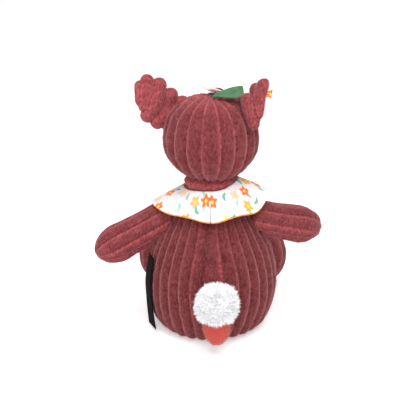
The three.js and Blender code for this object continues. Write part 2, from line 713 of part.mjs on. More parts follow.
function petalDisc(lift) {
  const sides = FLOWER_PETALS * POINTS_PER_PETAL;
  const ring = (share, height) =>
    count(sides, (i) => {
      const angle = (2 * Math.PI * i) / sides;
      const notch = PETAL_NOTCH * (1 - Math.abs(Math.sin((FLOWER_PETALS * angle) / 2)));
      const radius = share * (FLOWER_RADIUS - share * notch);
      return point(radius * Math.cos(angle), radius * Math.sin(angle), height + FLOWER_CUP * share * share);
    });
  const shares = [0.35, 0.7, 1];
  const rings = [
    ...shares.map((share) => ring(share, lift)),
    ...shares.toReversed().map((share) => ring(share, lift + FELT)),
  ];
  return skin(rings, point(0, 0, lift), point(0, 0, lift + FELT));
}

function addFlower() {
  const root = onHead(FLOWER_SIDE, FLOWER_AHEAD);
  const frame = frameAt(root, headFacing(root), point(0, 1, 0));
  const base = pillar(FLOWER_BASE_RADIUS, -FELT, FLOWER_BASE_HEIGHT, within(SMALL_SIDES));
  addPiece(headGroup, 'flower_base', cut(placed(base, frame), headSurface), greenFelt);

  const lift = FLOWER_BASE_HEIGHT + GAP;
  const petals = cut(placed(petalDisc(lift), frame), headSurface);
  addPiece(headGroup, 'flower_petals', petals, pinkFelt);

  const seat = lift + FELT + GAP + FLOWER_CUP * (BUTTON_RADIUS / FLOWER_RADIUS) ** 2;
  const dome = new THREE.EllipseCurve(0, seat, BUTTON_RADIUS, BUTTON_HEIGHT, 0, Math.PI / 2);
  const button = turned(outline(dome, 4), within(SMALL_SIDES));
  addPiece(headGroup, 'flower_button', placed(button, frame), brownThread);

  const leafRoot = onHead(LEAF_SIDE, FLOWER_AHEAD - LEAF_BEHIND).sub(point(0, 0, LEAF_SINK));
  const leafFacing = point(0, -Math.sin(radians(LEAF_TILT)), Math.cos(radians(LEAF_TILT)));
  const leafAlong = point(Math.cos(radians(LEAF_RISE)), 0, Math.sin(radians(LEAF_RISE)));
  const leafFrame = frameAt(leafRoot, leafAlong, leafFacing);
  const leaf = cloth(
    (u, v) => {
      const full = Math.sin(Math.PI * THREE.MathUtils.lerp(LEAF_ENDS[0], LEAF_ENDS[1], Math.abs(u) ** 1.4));
      const half = (LEAF_WIDTH / 2) * full ** 0.8;
      const across = 2 * v - 1;
      return point(across * half, LEAF_FOLD * Math.abs(across), u * LEAF_LENGTH);
    },
    [8, 4],
    () => FELT,
  );
  addPiece(headGroup, 'flower_leaf', cut(placed(leaf, leafFrame), headSurface), greenFelt);
}

// Collar: two halves, each a printed top over a lining, sewn in where the neck meets the torso

const shoulderLevel = TORSO_HEIGHT - ARM_BELOW_NECK - ARM_RADIUS;

const collarPlaces = {
  left: { side: SIDES.left, rest: LEFT_COLLAR_REST, ride: LEFT_COLLAR_LIFT },
  right: { side: SIDES.right, rest: RIGHT_COLLAR_REST, ride: RIGHT_COLLAR_LIFT },
};

/** How far the collar's outer edge lies from the neck's middle, by the angle from straight out sideways. */
function collarReach(angle) {
  const sideShare = (Math.cos(angle) / COLLAR_SIDE_REACH) ** COLLAR_CORNER;
  const backShare = (Math.abs(Math.sin(angle)) / COLLAR_BACK_REACH) ** COLLAR_CORNER;
  return (sideShare + backShare) ** (-1 / COLLAR_CORNER);
}

function addCollar(name) {
  const { side, rest, ride } = collarPlaces[name];
  const inner = NECK_RADIUS + MOVING_GAP;
  const underside = torsoTop(inner) + GAP;
  const sideDrop = underside + ride - (shoulderLevel + ARM_RADIUS + rest);
  const layer = (lift) => (u, v) => {
    const angle = radians(THREE.MathUtils.lerp(-90 + COLLAR_SLIT, 90 - COLLAR_SLIT, u));
    const sideways = Math.cos(angle) ** 2;
    const reach = collarReach(angle);
    const drop = THREE.MathUtils.lerp(COLLAR_BACK_DROP, sideDrop, sideways);
    const across = side > 0 ? v : 1 - v;
    const radius = THREE.MathUtils.lerp(reach, inner, across);
    const outward = 1 - across;
    const ripple = COLLAR_RIPPLE * outward * (1 - Math.cos(2 * Math.PI * COLLAR_RIPPLES * u));
    const rise = THREE.MathUtils.lerp(BACK_COLLAR_LIFT, ride, sideways);
    const height = underside + rise - drop * outward + ripple + lift;
    return point(side * radius * Math.cos(angle), radius * Math.sin(angle), height);
  };
  addPiece(plushDeer, `${name}_collar_lining`, cloth(layer(0), COLLAR_STEPS, () => COTTON), orangeLining);
  const top = cloth(layer(2 * (COTTON + GAP)), COLLAR_STEPS, () => COTTON);
  addPiece(plushDeer, `${name}_collar`, top, printedCotton);
}

// Arms

const armPlaces = {
  left: { side: SIDES.left, droop: LEFT_ARM_DROOP, ahead: LEFT_ARM_AHEAD },
  right: { side: SIDES.right, droop: RIGHT_ARM_DROOP, ahead: RIGHT_ARM_AHEAD },
};

/** An arm along its own Z axis, from inside the torso to its rounded tip. */
function armForm(ring, offset, rings = LIMB_RINGS) {
  const curve = new THREE.Path();
  const tipStart = ARM_LENGTH - ARM_TIP_LENGTH;
  curve.moveTo(ARM_ROOT_RADIUS, -ARM_ROOT_SINK);
  curve.splineThru([flat(ARM_RADIUS, tipStart / 2), flat(ARM_TIP_RADIUS, tipStart)]);
  curve.absellipse(0, tipStart, ARM_TIP_RADIUS, ARM_TIP_LENGTH, 0, Math.PI / 2);
  return turned(outline(curve, rings, offset), ring);
}

function addArm(name) {
  const { side, droop, ahead } = armPlaces[name];
  const shoulder = point(side * torsoRadius(shoulderLevel), 0, shoulderLevel);
  const level = Math.cos(radians(droop));
  const along = point(
    side * level * Math.cos(radians(ahead)),
    level * Math.sin(radians(ahead)),
    -Math.sin(radians(droop)),
  );
  const frame = frameAt(shoulder, along, up);
  const swing = { pivot: shoulder, axis: point(0, 0, side), from: -ARM_BACKWARD, to: ARM_FORWARD };
  const group = movingGroup(plushDeer, shoulder);

  const inside = (offset) => armForm(within(SMALL_SIDES), -offset, INNER_RINGS);
  const open = pillar(ARM_ROOT_RADIUS - COVER_WALL, -FAR, 0, within(SMALL_SIDES));
  const tube = cut(armForm(cord(waleCount(ARM_RADIUS)), 0), inside(COVER_WALL), open);
  const cover = clearThroughout(placed(tube, frame), torsoClearance, swing);
  const halves = panels(cover, frame);
  const [front, back] = side > 0 ? halves : halves.toReversed();
  addPiece(group, `${name}_arm_front_panel`, front, burgundyCord);
  addPiece(group, `${name}_arm_back_panel`, back, burgundyCord);
  const core = placed(inside(COVER_WALL + GAP), frame);
  addPiece(group, `${name}_arm_filling`, clearThroughout(core, torsoClearance, swing), whiteFibre);
}

// Legs: a tube along the ground that turns up into a tall round foot

const legLevel = LEG_RADIUS + LEG_CLEARANCE;

const legSlopes = {
  left: (LEG_SPREAD - LEFT_FOOT_SPREAD) / LEG_LENGTH,
  right: (RIGHT_FOOT_SPREAD - LEG_SPREAD) / LEG_LENGTH,
};

/** A leg with its hip at the origin, lengthways along Y, leaning out by a slope. Its wales run round it. */
function legForm(slope, ring, offset, groove) {
  const footStart = LEG_LENGTH - FOOT_DEPTH;
  const [footHalf, footTall] = [FOOT_WIDTH / 2, FOOT_HEIGHT / 2];
  const curve = new THREE.CatmullRomCurve3([
    point(LEG_ROOT_RADIUS, -LEG_ROOT_SINK, LEG_ROOT_RADIUS),
    point(LEG_ROOT_RADIUS, 0, LEG_RADIUS),
    point(LEG_RADIUS, 0.7 * footStart, LEG_RADIUS),
    point(0.9 * footHalf, footStart + 0.15 * FOOT_DEPTH, 0.78 * footTall),
    point(footHalf, footStart + 0.45 * FOOT_DEPTH, 0.98 * footTall),
    point(footHalf, footStart + 0.75 * FOOT_DEPTH, footTall),
    point(0.92 * footHalf, LEG_LENGTH - 0.08 * FOOT_DEPTH, 0.94 * footTall),
    point(SOLE_WIDTH / 2, LEG_LENGTH, SOLE_HEIGHT / 2),
  ]);
  const wales = Math.round(curve.getLength() / WALE_PITCH);
  const steps = wales * (groove > 0 ? POINTS_PER_WALE : 2);
  const rings = count(steps + 1, (i) => {
    const { x: wide, y: at, z: tall } = curve.getPointAt(i / steps);
    const fit = offset - (i % POINTS_PER_WALE === 0 && i < steps ? groove : 0);
    const ahead = at + offset * THREE.MathUtils.smoothstep(at, LEG_LENGTH - FOOT_DEPTH / 4, LEG_LENGTH);
    const level = LEG_CLEARANCE + Math.max(tall, LEG_RADIUS);
    return ring(tall + fit, wide + fit).map(([z, x]) => point(slope * ahead + x, ahead, level + z));
  });
  const middleOf = (loop) => loop.reduce((sum, at) => sum.add(at), point(0, 0, 0)).divideScalar(loop.length);
  return skin(rings, middleOf(rings[0]), middleOf(rings.at(-1)));
}

function addLeg(name) {
  const side = SIDES[name];
  const slope = legSlopes[name];
  const hipAhead = Math.sqrt(torsoRadius(legLevel) ** 2 - LEG_SPREAD ** 2);
  const origin = point(side * LEG_SPREAD, hipAhead, 0);
  const hip = origin.clone().setZ(legLevel + HIP_RISE);
  const raise = { pivot: hip, axis: point(1, 0, 0), from: 0, to: LEG_RAISE };
  const group = movingGroup(plushDeer, hip);
  const inPlace = (geometry) => geometry.translate(origin.x, origin.y, origin.z);
  const fitted = (geometry) => clearThroughout(inPlace(geometry), torsoClearance, raise);

  const outside = legForm(slope, within(LEG_SIDES), 0, WALE_DEPTH);
  const tube = cut(outside, legForm(slope, within(SMALL_SIDES), -COVER_WALL, 0));
  const halves = panels(fitted(tube), frameAt(origin, point(slope, 1, 0), up));
  const [inner, outer] = side > 0 ? halves : halves.toReversed();
  addPiece(group, `${name}_leg_inner_panel`, inner, burgundyCord);
  addPiece(group, `${name}_leg_outer_panel`, outer, burgundyCord);
  const core = fitted(legForm(slope, within(SMALL_SIDES), -COVER_WALL - GAP, 0));
  addPiece(group, `${name}_leg_filling`, core, whiteFibre);

  const soleMiddle = point(slope * LEG_LENGTH, LEG_LENGTH + GAP, LEG_CLEARANCE + FOOT_HEIGHT / 2);
  const soleRing = (share, ahead) =>
    within(SMALL_SIDES)((share * SOLE_HEIGHT) / 2, (share * SOLE_WIDTH) / 2).map(([z, x]) =>
      soleMiddle.clone().add(point(x, ahead, z)));
  const rings = [soleRing(1, 0), soleRing(0.97, COTTON), soleRing(0.6, 0.8 * SOLE_CROWN)];
  const sole = skin(rings, soleMiddle, soleMiddle.clone().add(point(0, SOLE_CROWN, 0)));
  addPiece(group, `${name}_sole`, inPlace(sole), creamPlush);
}

// Tail: a pompom against the back, with a soft tip hanging out of it

function addTail() {
  const away = torsoRadius(POMPOM_HEIGHT) + POMPOM_STANDOFF;
  const middle = point(TAIL_SIDE, -away, POMPOM_HEIGHT);
  const rootLevel = POMPOM_HEIGHT + TAIL_ROOT_RISE;
  const root = point(TAIL_SIDE, -torsoRadius(rootLevel), rootLevel);
  const lift = { pivot: root, axis: point(-1, 0, 0), from: 0, to: TAIL_LIFT };
  const group = movingGroup(plushDeer, root);
  const ball = (ring, offset) =>
    turned(outline(egg(POMPOM_RADIUS, POMPOM_RADIUS), LIMB_RINGS, offset), ring)
      .translate(middle.x, middle.y, middle.z);
  const pompom = clearThroughout(ball(within(POMPOM_SIDES), 0), torsoClearance, lift);
  addPiece(group, 'tail_pompom', pompom, whitePile);

  const curve = new THREE.Path();
  curve.absellipse(0, 0, TAIL_TIP_RADIUS, TAIL_TIP_LENGTH - TAIL_TIP_TUCK, -Math.PI / 2, 0);
  curve.lineTo(TAIL_TIP_RADIUS, TAIL_TIP_TUCK);
  const drop = turned(outline(curve, LIMB_RINGS), within(SMALL_SIDES))
    .translate(middle.x, middle.y, middle.z - POMPOM_RADIUS);
  const clear = clearThroughout(drop, torsoClearance, lift);
  addPiece(group, 'tail_tip', cut(clear, ball(around(ROUND_SIDES), GAP)), coralVelour);
}

// Ribbon label, sewn into the left side seam under the arm

function addLabel() {
  const top = shoulderLevel - ARM_RADIUS - LABEL_BELOW_ARM;
  const away = (height) => {
    const under = Math.max(0, (BELLY_HEIGHT - height) / BELLY_HEIGHT);
    const over = Math.max(0, (height - BELLY_HEIGHT) / (top - BELLY_HEIGHT));
    const bulge = THREE.MathUtils.lerp(LABEL_BULGE, MOVING_GAP, Math.min(over, 1));
    const level = THREE.MathUtils.clamp(height, BELLY_HEIGHT, top);
    return torsoRadius(level) + bulge - LABEL_TUCK * under * under;
  };
  const place = (u, v) => {
    const height = top - u * LABEL_LENGTH;
    return point(-away(height), (v - 0.5) * LABEL_WIDTH, height);
  };
  const seam = sideSeamTurn(SIDES.left);
  const edge = place(0, 0.5).add(point(-LABEL_THICKNESS / 2, 0, 0));
  const group = movingGroup(plushDeer, edge.applyMatrix4(seam));
  const ribbon = cloth((u, v) => place(u, 1 - v), [14, 2], () => LABEL_THICKNESS);
  addPiece(group, 'side_label', placed(ribbon, seam), blackRibbon);
}

addTorso();
addNeck();
addHead();
addMuzzle();
addFlower();
addTail();
addLabel();
for (const name of Object.keys(SIDES)) {
  addEye(name, SIDES[name]);
  addEar(name);
  addCollar(name);
  addArm(name);
  addLeg(name);
}

export default plushDeer;
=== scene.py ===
"""A seated plush deer in wide-wale cord, with a printed collar, felt flower and pompom tail.

The deer faces +Y, and its left side is -X. Shapes are worked out in millimetres.
"""

import json
import math

import bpy
import numpy as np
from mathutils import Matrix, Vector


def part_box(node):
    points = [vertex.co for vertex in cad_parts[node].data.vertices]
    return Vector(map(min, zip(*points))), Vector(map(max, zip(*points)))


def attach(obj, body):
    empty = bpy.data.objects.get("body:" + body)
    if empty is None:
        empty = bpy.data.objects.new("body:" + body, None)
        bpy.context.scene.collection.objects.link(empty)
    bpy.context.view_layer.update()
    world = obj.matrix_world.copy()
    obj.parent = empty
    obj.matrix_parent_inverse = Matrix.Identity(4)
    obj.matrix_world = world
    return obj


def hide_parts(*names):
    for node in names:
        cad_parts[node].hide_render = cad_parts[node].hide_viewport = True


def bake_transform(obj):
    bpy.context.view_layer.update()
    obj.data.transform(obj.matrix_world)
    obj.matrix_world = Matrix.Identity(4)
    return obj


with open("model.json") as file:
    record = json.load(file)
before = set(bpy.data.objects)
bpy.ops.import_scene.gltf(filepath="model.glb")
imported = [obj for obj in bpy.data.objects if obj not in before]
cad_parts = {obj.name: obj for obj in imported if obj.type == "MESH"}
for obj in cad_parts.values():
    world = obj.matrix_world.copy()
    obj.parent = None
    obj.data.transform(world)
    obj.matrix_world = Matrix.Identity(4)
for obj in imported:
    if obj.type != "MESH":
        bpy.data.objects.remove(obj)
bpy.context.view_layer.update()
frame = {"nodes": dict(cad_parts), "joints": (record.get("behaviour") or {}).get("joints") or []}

MM = 0.001
SIDES = {"left": -1, "right": 1}
PIVOTS = {j["child"]: np.array(j["pos_m"]) / MM for j in frame["joints"]}


def box(node):
    """The lowest and highest corners of a CAD node, in millimetres."""
    return [np.array(corner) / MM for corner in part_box(node)]


# Sizes

TORSO_HEIGHT = box("torso_belly_panel")[1][2]
BELLY_RADIUS = box("torso_belly_panel")[1][1]
BELLY_LEVEL = 0.361  # share of the torso's height
TORSO_PROFILE = [  # shares of the belly's radius and of the height, from the seat up
    (0.02, 0.006), (0.36, 0.004), (0.6, 0.003), (0.73, 0.017), (0.81, 0.049), (0.89, 0.115), (0.975, 0.24),
    (1.0, BELLY_LEVEL), (0.965, 0.5), (0.879, 0.631), (0.638, 0.836), (0.379, 1.0), (0.2, 1.02),
]
TORSO_WALES = 28
BACK_GROOVE = -3.6  # degrees from straight behind to the nearest groove
WALE_PITCH = 13.0
WALE_DEPTH = 2.6
LEFT_NARROWING = 0.045  # share by which the left side is stuffed less, above the seat
TAIL_DENT = (4.5, -52.0, 77.0)  # where a tuck pulls the back in
# The neck is painted lighter where the head shades it, and each cover lighter or darker by the light that it
# gets.
NAP_AND_PAINTED_LIGHT = {  # how light each cover is painted: its pile's lie and painted light and shade
    "torso": 0.62, "neck": 1.3, "head": 0.72, "left_ear": 1.05, "right_ear": 0.92, "arm": 0.83, "leg": 0.8,
}

HEAD = PIVOTS["head"]
HEAD_RADIUS = 0.5 * (box("head_left_panel")[1][1] - box("head_left_panel")[0][1])
HEAD_HALF = box("head_left_panel")[1][2] - HEAD[2]
HEAD_GROOVES = [12.9 + 19.275 * i for i in range(5)]  # degrees from the back seam, level with the middle
HEAD_ARCH = 0.05  # how much the outer wales run over the top instead of meeting there
HEAD_FULL = 0.82  # how far the top half swells towards its corners: 1 is an egg
NECK_RADIUS = box("neck_band")[1][0]

# An ear leans out and back, and turns its face aside, by these degrees. Each wale has the points that its
# middle runs through (across the ear, towards its front, out from the head) and its radius. The lining swells
# by the pillow.
EARS = {
    "left": {
        "lean": 50, "back": 6, "turn": 22, "pillow": 1.2,
        "wales": [
            ([(12, 1, -2.5), (-10, 1, -5)], 6.0),
            ([(11.4, 1, 9.6), (0.8, 4, 5.5), (-13.8, 1, 4.5)], 6.2),
            ([(11.6, 0, 22.2), (-0.6, -2.6, 17.2), (-14.3, 0, 14.6)], 6.2),
            ([(7.7, 0, 32.5), (-2.8, -1, 25.3), (-9, 0, 21.5)], 6.0),
            ([(1, 2, 34.2), (-8.3, 2, 26.2)], 5.0),
        ],
    },
    "right": {
        "lean": 38, "back": 45, "turn": 85, "pillow": 7.0,
        "wales": [
            ([(-6, 0, -4), (12, 0, -2)], 6.0),
            ([(-4.4, 0, 3), (3, -1, 4), (17, 1, 8)], 5.8),
            ([(2.3, -6.4, 15.8), (12, -4.6, 16.1), (22, -0.9, 15.2)], 5.7),
            ([(-9.8, 2.9, 15.9), (0, 2.6, 12.9), (8.6, 2.1, 11.2)], 5.3),
            ([(-7.8, 4.3, 25.9), (2.4, 2.3, 23), (14.5, 1.5, 19)], 6.2),
        ],
    },
}
EAR_FRONT = 0.45  # how round the front of a wale is next to its back

ARM_LENGTH = 69.5
ARM_RADIUS = 16.0
ARM_TIP = (16.4, 23.0)  # radius where the tip starts to round off, and its length
ARM_WALES = 8
ARM_SEAM = 48  # degrees under straight back
ARMS = {"left": {"droop": 30, "ahead": 0}, "right": {"droop": 18, "ahead": 30}}

LEG_LENGTH = 47.0
LEG_SLOPES = {"left": -20.0 / LEG_LENGTH, "right": 25.0 / LEG_LENGTH}
LEG_CLEARANCE = 0.6
LEG_STATIONS = [  # along the leg, half width, half height
    (-8.0, 16.0, 16.0), (0.0, 16.0, 17.0), (14.7, 17.0, 17.0), (24.9, 18.9, 22.2),
    (32.7, 21.0, 27.9), (40.5, 21.0, 28.5), (44.9, 19.3, 26.8), (47.0, 16.5, 23.5),
]
SOLE = (16.5, 23.5, 3.0)  # half width, half height and crown

POMPOM_CORE = 15.4
PILE_LENGTH = 4.2
POMPOM = PIVOTS["tail"] + [0, -10.5, -12]
TAIL_TIP = (11.0, 17.0, 8.0)  # radius, length below the pompom, tuck into it
TAIL_TIP_DROP = 18.5  # from the middle of the pompom down to where the tip starts to taper

COLLAR_INNER = NECK_RADIUS + 0.6
# Each half rides up by the neck and drops to its edge. A corner of 1 runs straight from side to back, and
# of 2 in an oval. Sag lowers the edge behind the shoulder, peel lifts the lining by the neck, and cut shifts
# the print.
COLLAR = {
    "left": dict(reach=50.5, corner=1.5, drop=15.6, ride=3.5, sag=0.0, peel=0.0, cut=0.31),
    "right": dict(reach=49.0, corner=2.0, drop=13.8, ride=11.0, sag=4.0, peel=2.0, cut=0.0),
}
COLLAR_BACK = dict(reach=40.0, drop=20.6, ride=6.5)
COLLAR_SLIT = 0.8  # degrees on either side
COTTON = 0.8

PETAL_RADIUS = 13.6
LEAF_LENGTH = 25.0
LEAF_HALF = 6.6
LABEL_SIZE = (16.0, 65.0)
SIDE_SEAM = math.radians(18)  # behind straight out

CAMERA_TARGET = (-0.0023, 0, 0.107)
CAMERA_AWAY = 0.994
CAMERA_RISE = math.radians(20)

# Number helpers


def lerp(a, b, t):
    return a + (b - a) * t


def ease(a, b, x):
    """0 before a, 1 after b, and smooth between them."""
    t = np.clip((np.asarray(x, float) - a) / (b - a), 0, 1)
    return t * t * (3 - 2 * t)


def hill(x, width):
    return np.exp(-((np.asarray(x, float) / width) ** 2))


def unit(v):
    v = np.asarray(v, float)
    return v / np.maximum(np.linalg.norm(v, axis=-1, keepdims=True), 1e-9)


def grain(points, size, seed=0):
    """Smooth lattice noise from -1 to 1 at points, with lumps of the given size."""
    p = np.asarray(points, float) / size + 31.7 * seed + 500
    cell = np.floor(p).astype(np.int64)
    f = p - cell
    f = f * f * (3 - 2 * f)
    total = np.zeros(p.shape[:-1])
    for corner in np.ndindex(2, 2, 2):
        at = cell + np.array(corner)
        h = at[..., 0] * 73856093 ^ at[..., 1] * 19349663 ^ at[..., 2] * 83492791 ^ (seed * 2654435)
        h = (h ^ (h >> 13)) * 1274126177 & 0x7FFFFFFF
        weight = np.prod(np.where(np.array(corner) == 1, f, 1 - f), axis=-1)
        total += ((h ^ (h >> 16)) & 0xFFFF) / 0xFFFF * weight
    return 2 * total - 1


def spline(points, count):
    """Evenly spaced points on a smooth curve through the given ones."""
    p = np.asarray(points, float)
    p = np.vstack([2 * p[0] - p[1], p, 2 * p[-1] - p[-2]])
    t = np.linspace(0, 1, 24, endpoint=False)[:, None]
    out = []
    for a, b, c, d in zip(p, p[1:], p[2:], p[3:]):
        square, cube = 2 * a - 5 * b + 4 * c - d, 3 * b - a - 3 * c + d
        out.append(0.5 * (2 * b + (c - a) * t + square * t**2 + cube * t**3))
    out = np.vstack(out + [p[-2:-1]])
    walk = np.concatenate([[0], np.cumsum(np.linalg.norm(np.diff(out, axis=0), axis=1))])
    even = np.linspace(0, walk[-1], count)
    return np.stack([np.interp(even, walk, out[:, i]) for i in range(out.shape[1])], axis=1)


def axes(along, nearly):
    """Three directions, with Z along one and Y as near as can be to another."""
    z = unit(along)
    x = unit(np.cross(nearly, z))
    return x, np.cross(z, x), z


def full_turn(count):
    """Evenly spaced angles round a ring."""
    return np.linspace(0, 2 * np.pi, count, endpoint=False)


# Meshes


def add_object(name, data):
    obj = bpy.data.objects.new(name, data)
    bpy.context.scene.collection.objects.link(obj)
    return obj


def made_plain(obj):
    """The mesh that an object has once its modifiers have run."""
    return bpy.data.meshes.new_from_object(obj.evaluated_get(bpy.context.evaluated_depsgraph_get()))


def add_mesh(name, points, faces, material, marks=None, flat=None):
    """A smooth-shaded object from points in millimetres. Marks are numbers kept at the points, and flat
    is where each point lay in the cut cloth."""
    mesh = bpy.data.meshes.new(name)
    mesh.from_pydata(np.asarray(points) * MM, [], [list(map(int, f)) for f in faces])
    mesh.polygons.foreach_set("use_smooth", [True] * len(mesh.polygons))
    for mark, values in (marks or {}).items():
        layer = mesh.attributes.new(mark, "FLOAT", "POINT")
        layer.data.foreach_set("value", np.asarray(values, np.float32).ravel())
    if flat is not None:
        loops = np.zeros(len(mesh.loops), np.int32)
        mesh.loops.foreach_get("vertex_index", loops)
        layer = mesh.uv_layers.new(name="flat")
        layer.data.foreach_set("uv", np.asarray(flat, np.float32)[loops].ravel())
    mesh.materials.append(material)
    return add_object(name, mesh)


def tube_faces(rows, sides):
    """Quads over rings that run anticlockwise about the way they go, with a point at each end."""
    r, s = np.meshgrid(np.arange(rows - 1), np.arange(sides), indexing="ij")
    n = (s + 1) % sides
    quads = np.stack([r * sides + s, r * sides + n, (r + 1) * sides + n, (r + 1) * sides + s], -1)
    start, end = rows * sides, rows * sides + 1
    side = np.arange(sides)
    nxt = (side + 1) % sides
    caps = [(start, b, a) for a, b in zip(side, nxt)]
    last = (rows - 1) * sides
    caps += [(end, last + a, last + b) for a, b in zip(side, nxt)]
    return [*quads.reshape(-1, 4), *caps]


def closed(grid):
    """A grid of rings as points, with the middles of its first and last rings."""
    flat = grid.reshape(-1, grid.shape[-1])
    return np.vstack([flat, grid[0].mean(0), grid[-1].mean(0)])


def outward(grid):
    """Directions square to a grid of rings."""
    across = np.roll(grid, -1, 1) - np.roll(grid, 1, 1)
    return unit(np.cross(across, np.gradient(grid, axis=0)))


def wrapped(name, grid, material, marks=None, flat=None):
    """A closed skin over rings of points, facing outwards."""
    marks = {key: np.asarray(values) for key, values in (marks or {}).items()}
    if np.sum(outward(grid) * (grid - grid.mean((0, 1)))) < 0:
        grid = grid[:, ::-1]
        marks = {key: values[:, ::-1] for key, values in marks.items()}
        flat = None if flat is None else flat[:, ::-1]
    ends = {key: np.concatenate([v.ravel(), [v[0].mean(), v[-1].mean()]]) for key, v in marks.items()}
    flat = None if flat is None else closed(flat)
    return add_mesh(name, closed(grid), tube_faces(*grid.shape[:2]), material, ends, flat)


def lumpy(grid, height, size, seed):
    """A grid of rings moved in and out at random, in lumps of a size."""
    return grid + outward(grid) * (height * grain(grid, size, seed))[..., None]


def swept(path, ways, radii, nearly, count, front=1.0):
    """Rings square to a path. Front is how round the side that faces nearly is next to the other."""
    turn = full_turn(count)
    lift = np.sin(turn) * np.where(np.sin(turn) > 0, front, 1)
    rings = []
    for middle, way, radius in zip(path, ways, radii):
        x, y, _ = axes(way, nearly)
        rings.append(middle + radius * (np.cos(turn)[:, None] * x + lift[:, None] * y))
    return np.array(rings)


def slab(lower, upper):
    """Points and faces of a closed sheet between two grids of the same shape, with a rounded rim."""
    rows, cols = lower.shape[:2]
    count = rows * cols
    at = np.arange(count).reshape(rows, cols)
    a, b, c, d = at[:-1, :-1], at[1:, :-1], at[1:, 1:], at[:-1, 1:]
    top = np.stack([a, b, c, d], -1).reshape(-1, 4) + count
    bottom = np.stack([a, d, c, b], -1).reshape(-1, 4)
    loop = np.concatenate([at[:, 0], at[-1, 1:], at[-2::-1, -1], at[0, -2:0:-1]])
    nxt = np.roll(loop, -1)
    middle = 2 * count + np.arange(len(loop))
    after = np.roll(middle, -1)
    sides = np.concatenate([
        np.stack([loop, nxt, after, middle], -1), np.stack([middle, after, nxt + count, loop + count], -1),
    ])
    low, high = lower.reshape(-1, 3), upper.reshape(-1, 3)
    edge = 0.5 * (low + high)[loop]
    inside = 0.5 * (lower[1:-1, 1:-1].mean((0, 1)) + upper[1:-1, 1:-1].mean((0, 1)))
    tangent = unit(np.roll(edge, -1, 0) - np.roll(edge, 1, 0))
    push = unit(np.cross(tangent, unit((high - low)[loop])))
    push *= np.sign(np.sum(push * (edge - inside), -1, keepdims=True))
    edge = edge + push * 0.5 * np.linalg.norm((high - low)[loop], axis=-1, keepdims=True)
    return np.vstack([low, high, edge]), [*top, *bottom, *sides], loop


def sheet_on(name, grid, thickness, material, facing, flat=None):
    """A closed sheet whose lower face is a grid, thickened to the side that it faces."""
    out = unit(np.cross(np.gradient(grid, axis=0), np.gradient(grid, axis=1)))
    if np.sum(out.mean((0, 1)) * facing) < 0:
        grid, out = grid[:, ::-1], -out[:, ::-1]
        flat = None if flat is None else flat[:, ::-1]
    points, faces, loop = slab(grid, grid + thickness * out)
    if flat is not None:
        f = flat.reshape(-1, 2)
        flat = np.vstack([f, f, f[loop]])
    return add_mesh(name, points, faces, material, flat=flat)


# Cord

FLOOR_GAP = 0.2
STEPS = [0, 0.035, 0.1, 0.2, 0.34, 0.5, 0.66, 0.8, 0.9, 0.965]  # across a wale, closer by its grooves


def painted_wale_sheen(across):
    """Painted sheen across a wale, from its edge by the back seam to its outer edge: a painted highlight
    along the outer edge, a faint one by the inner edge, and darker between.
    """
    return 0.86 + 0.14 * across + 0.7 * hill(across - 0.91, 0.12) + 0.2 * hill(across + 0.05, 0.09)


def cord_columns(edges, depths, towards=180):
    """Places round a form: the turn of each, how far it lies down a groove's side, and a painted sheen: each
    wale is painted lighter towards its edge nearer a turn, as if its pile caught the light at a grazing
    angle."""
    turns, sunk, light = [], [], []
    for a, b, da, db in zip(edges, edges[1:], depths, depths[1:]):
        onward = math.sin(math.radians(towards - (a + b) / 2)) > 0
        for s in STEPS:
            near, far = max(0.0, 1 - 2 * s), max(0.0, 2 * s - 1)
            turns.append(lerp(a, b, s))
            sunk.append(da * near**2 + db * far**2)
            # Painted sheen: the edge of each wale nearer the given turn is painted lighter.
            light.append(painted_wale_sheen(s if onward else 1 - s))
    return np.radians(turns), np.array(sunk), np.array(light)


def cord_cover(name, grid, sunk, seed, nap, lumps=1.0, light=1.0):
    """A stuffed cord cover over a smooth form. Sunk is how deep in a groove each place lies."""
    out = outward(grid)
    lump = 0.5 * grain(grid, 22, seed) + 0.25 * grain(grid, 8, seed + 1) + 0.14 * grain(grid, 3, seed + 2)
    deep = sunk * (1 + 0.25 * grain(grid, 14, seed + 3))
    crest = np.broadcast_to(1 - np.clip(sunk / WALE_DEPTH, 0, 1), grid.shape[:2])
    grid = grid + out * (lumps * lump - deep)[..., None]
    grid[..., 2] = np.maximum(grid[..., 2], FLOOR_GAP)
    # The nap mark holds painted light and shade for the cover and the painted sheen across its wales,
    # together with the lie of its pile.
    marks = {"crest": crest, "nap": np.broadcast_to(NAP_AND_PAINTED_LIGHT[nap] * light, grid.shape[:2])}
    return wrapped(name, grid, FINISH["burgundy_cord"], marks)


# Shader sums


class Wire:
    """An output of a node, which sums can be written with."""

    def __init__(self, tree, socket):
        self.tree, self.socket = tree, socket

    def node(self, kind, sockets=None, **settings):
        """Adds a node, with its settings first and then what goes into its sockets."""
        return add_node(self.tree, kind, sockets, **settings)

    def __getitem__(self, name):
        return Wire(self.tree, pick(self.socket.node.outputs, name))

    def sum(self, operation, a, b=0.0, c=0.0):
        return self.node("ShaderNodeMath", {0: a, 1: b, 2: c}, operation=operation)

    def __pow__(self, other):
        return self.sum("POWER", self, other)

    def sine(self):
        return self.sum("SINE", self)

    def between(self, low, high):
        """0 below low, 1 above high, and smooth between them."""
        sockets = {"Value": self, "From Min": low, "From Max": high}
        return self.node("ShaderNodeMapRange", sockets, interpolation_type="SMOOTHSTEP")


for sign, operation in {"add": "ADD", "sub": "SUBTRACT", "mul": "MULTIPLY", "truediv": "DIVIDE"}.items():
    setattr(Wire, f"__{sign}__", lambda self, other, how=operation: self.sum(how, self, other))
    setattr(Wire, f"__r{sign}__", lambda self, other, how=operation: self.sum(how, other, self))


def pick(sockets, name):
    if isinstance(name, int):
        return sockets[name]
    return next((s for s in sockets if s.identifier == name), None) or sockets[name]


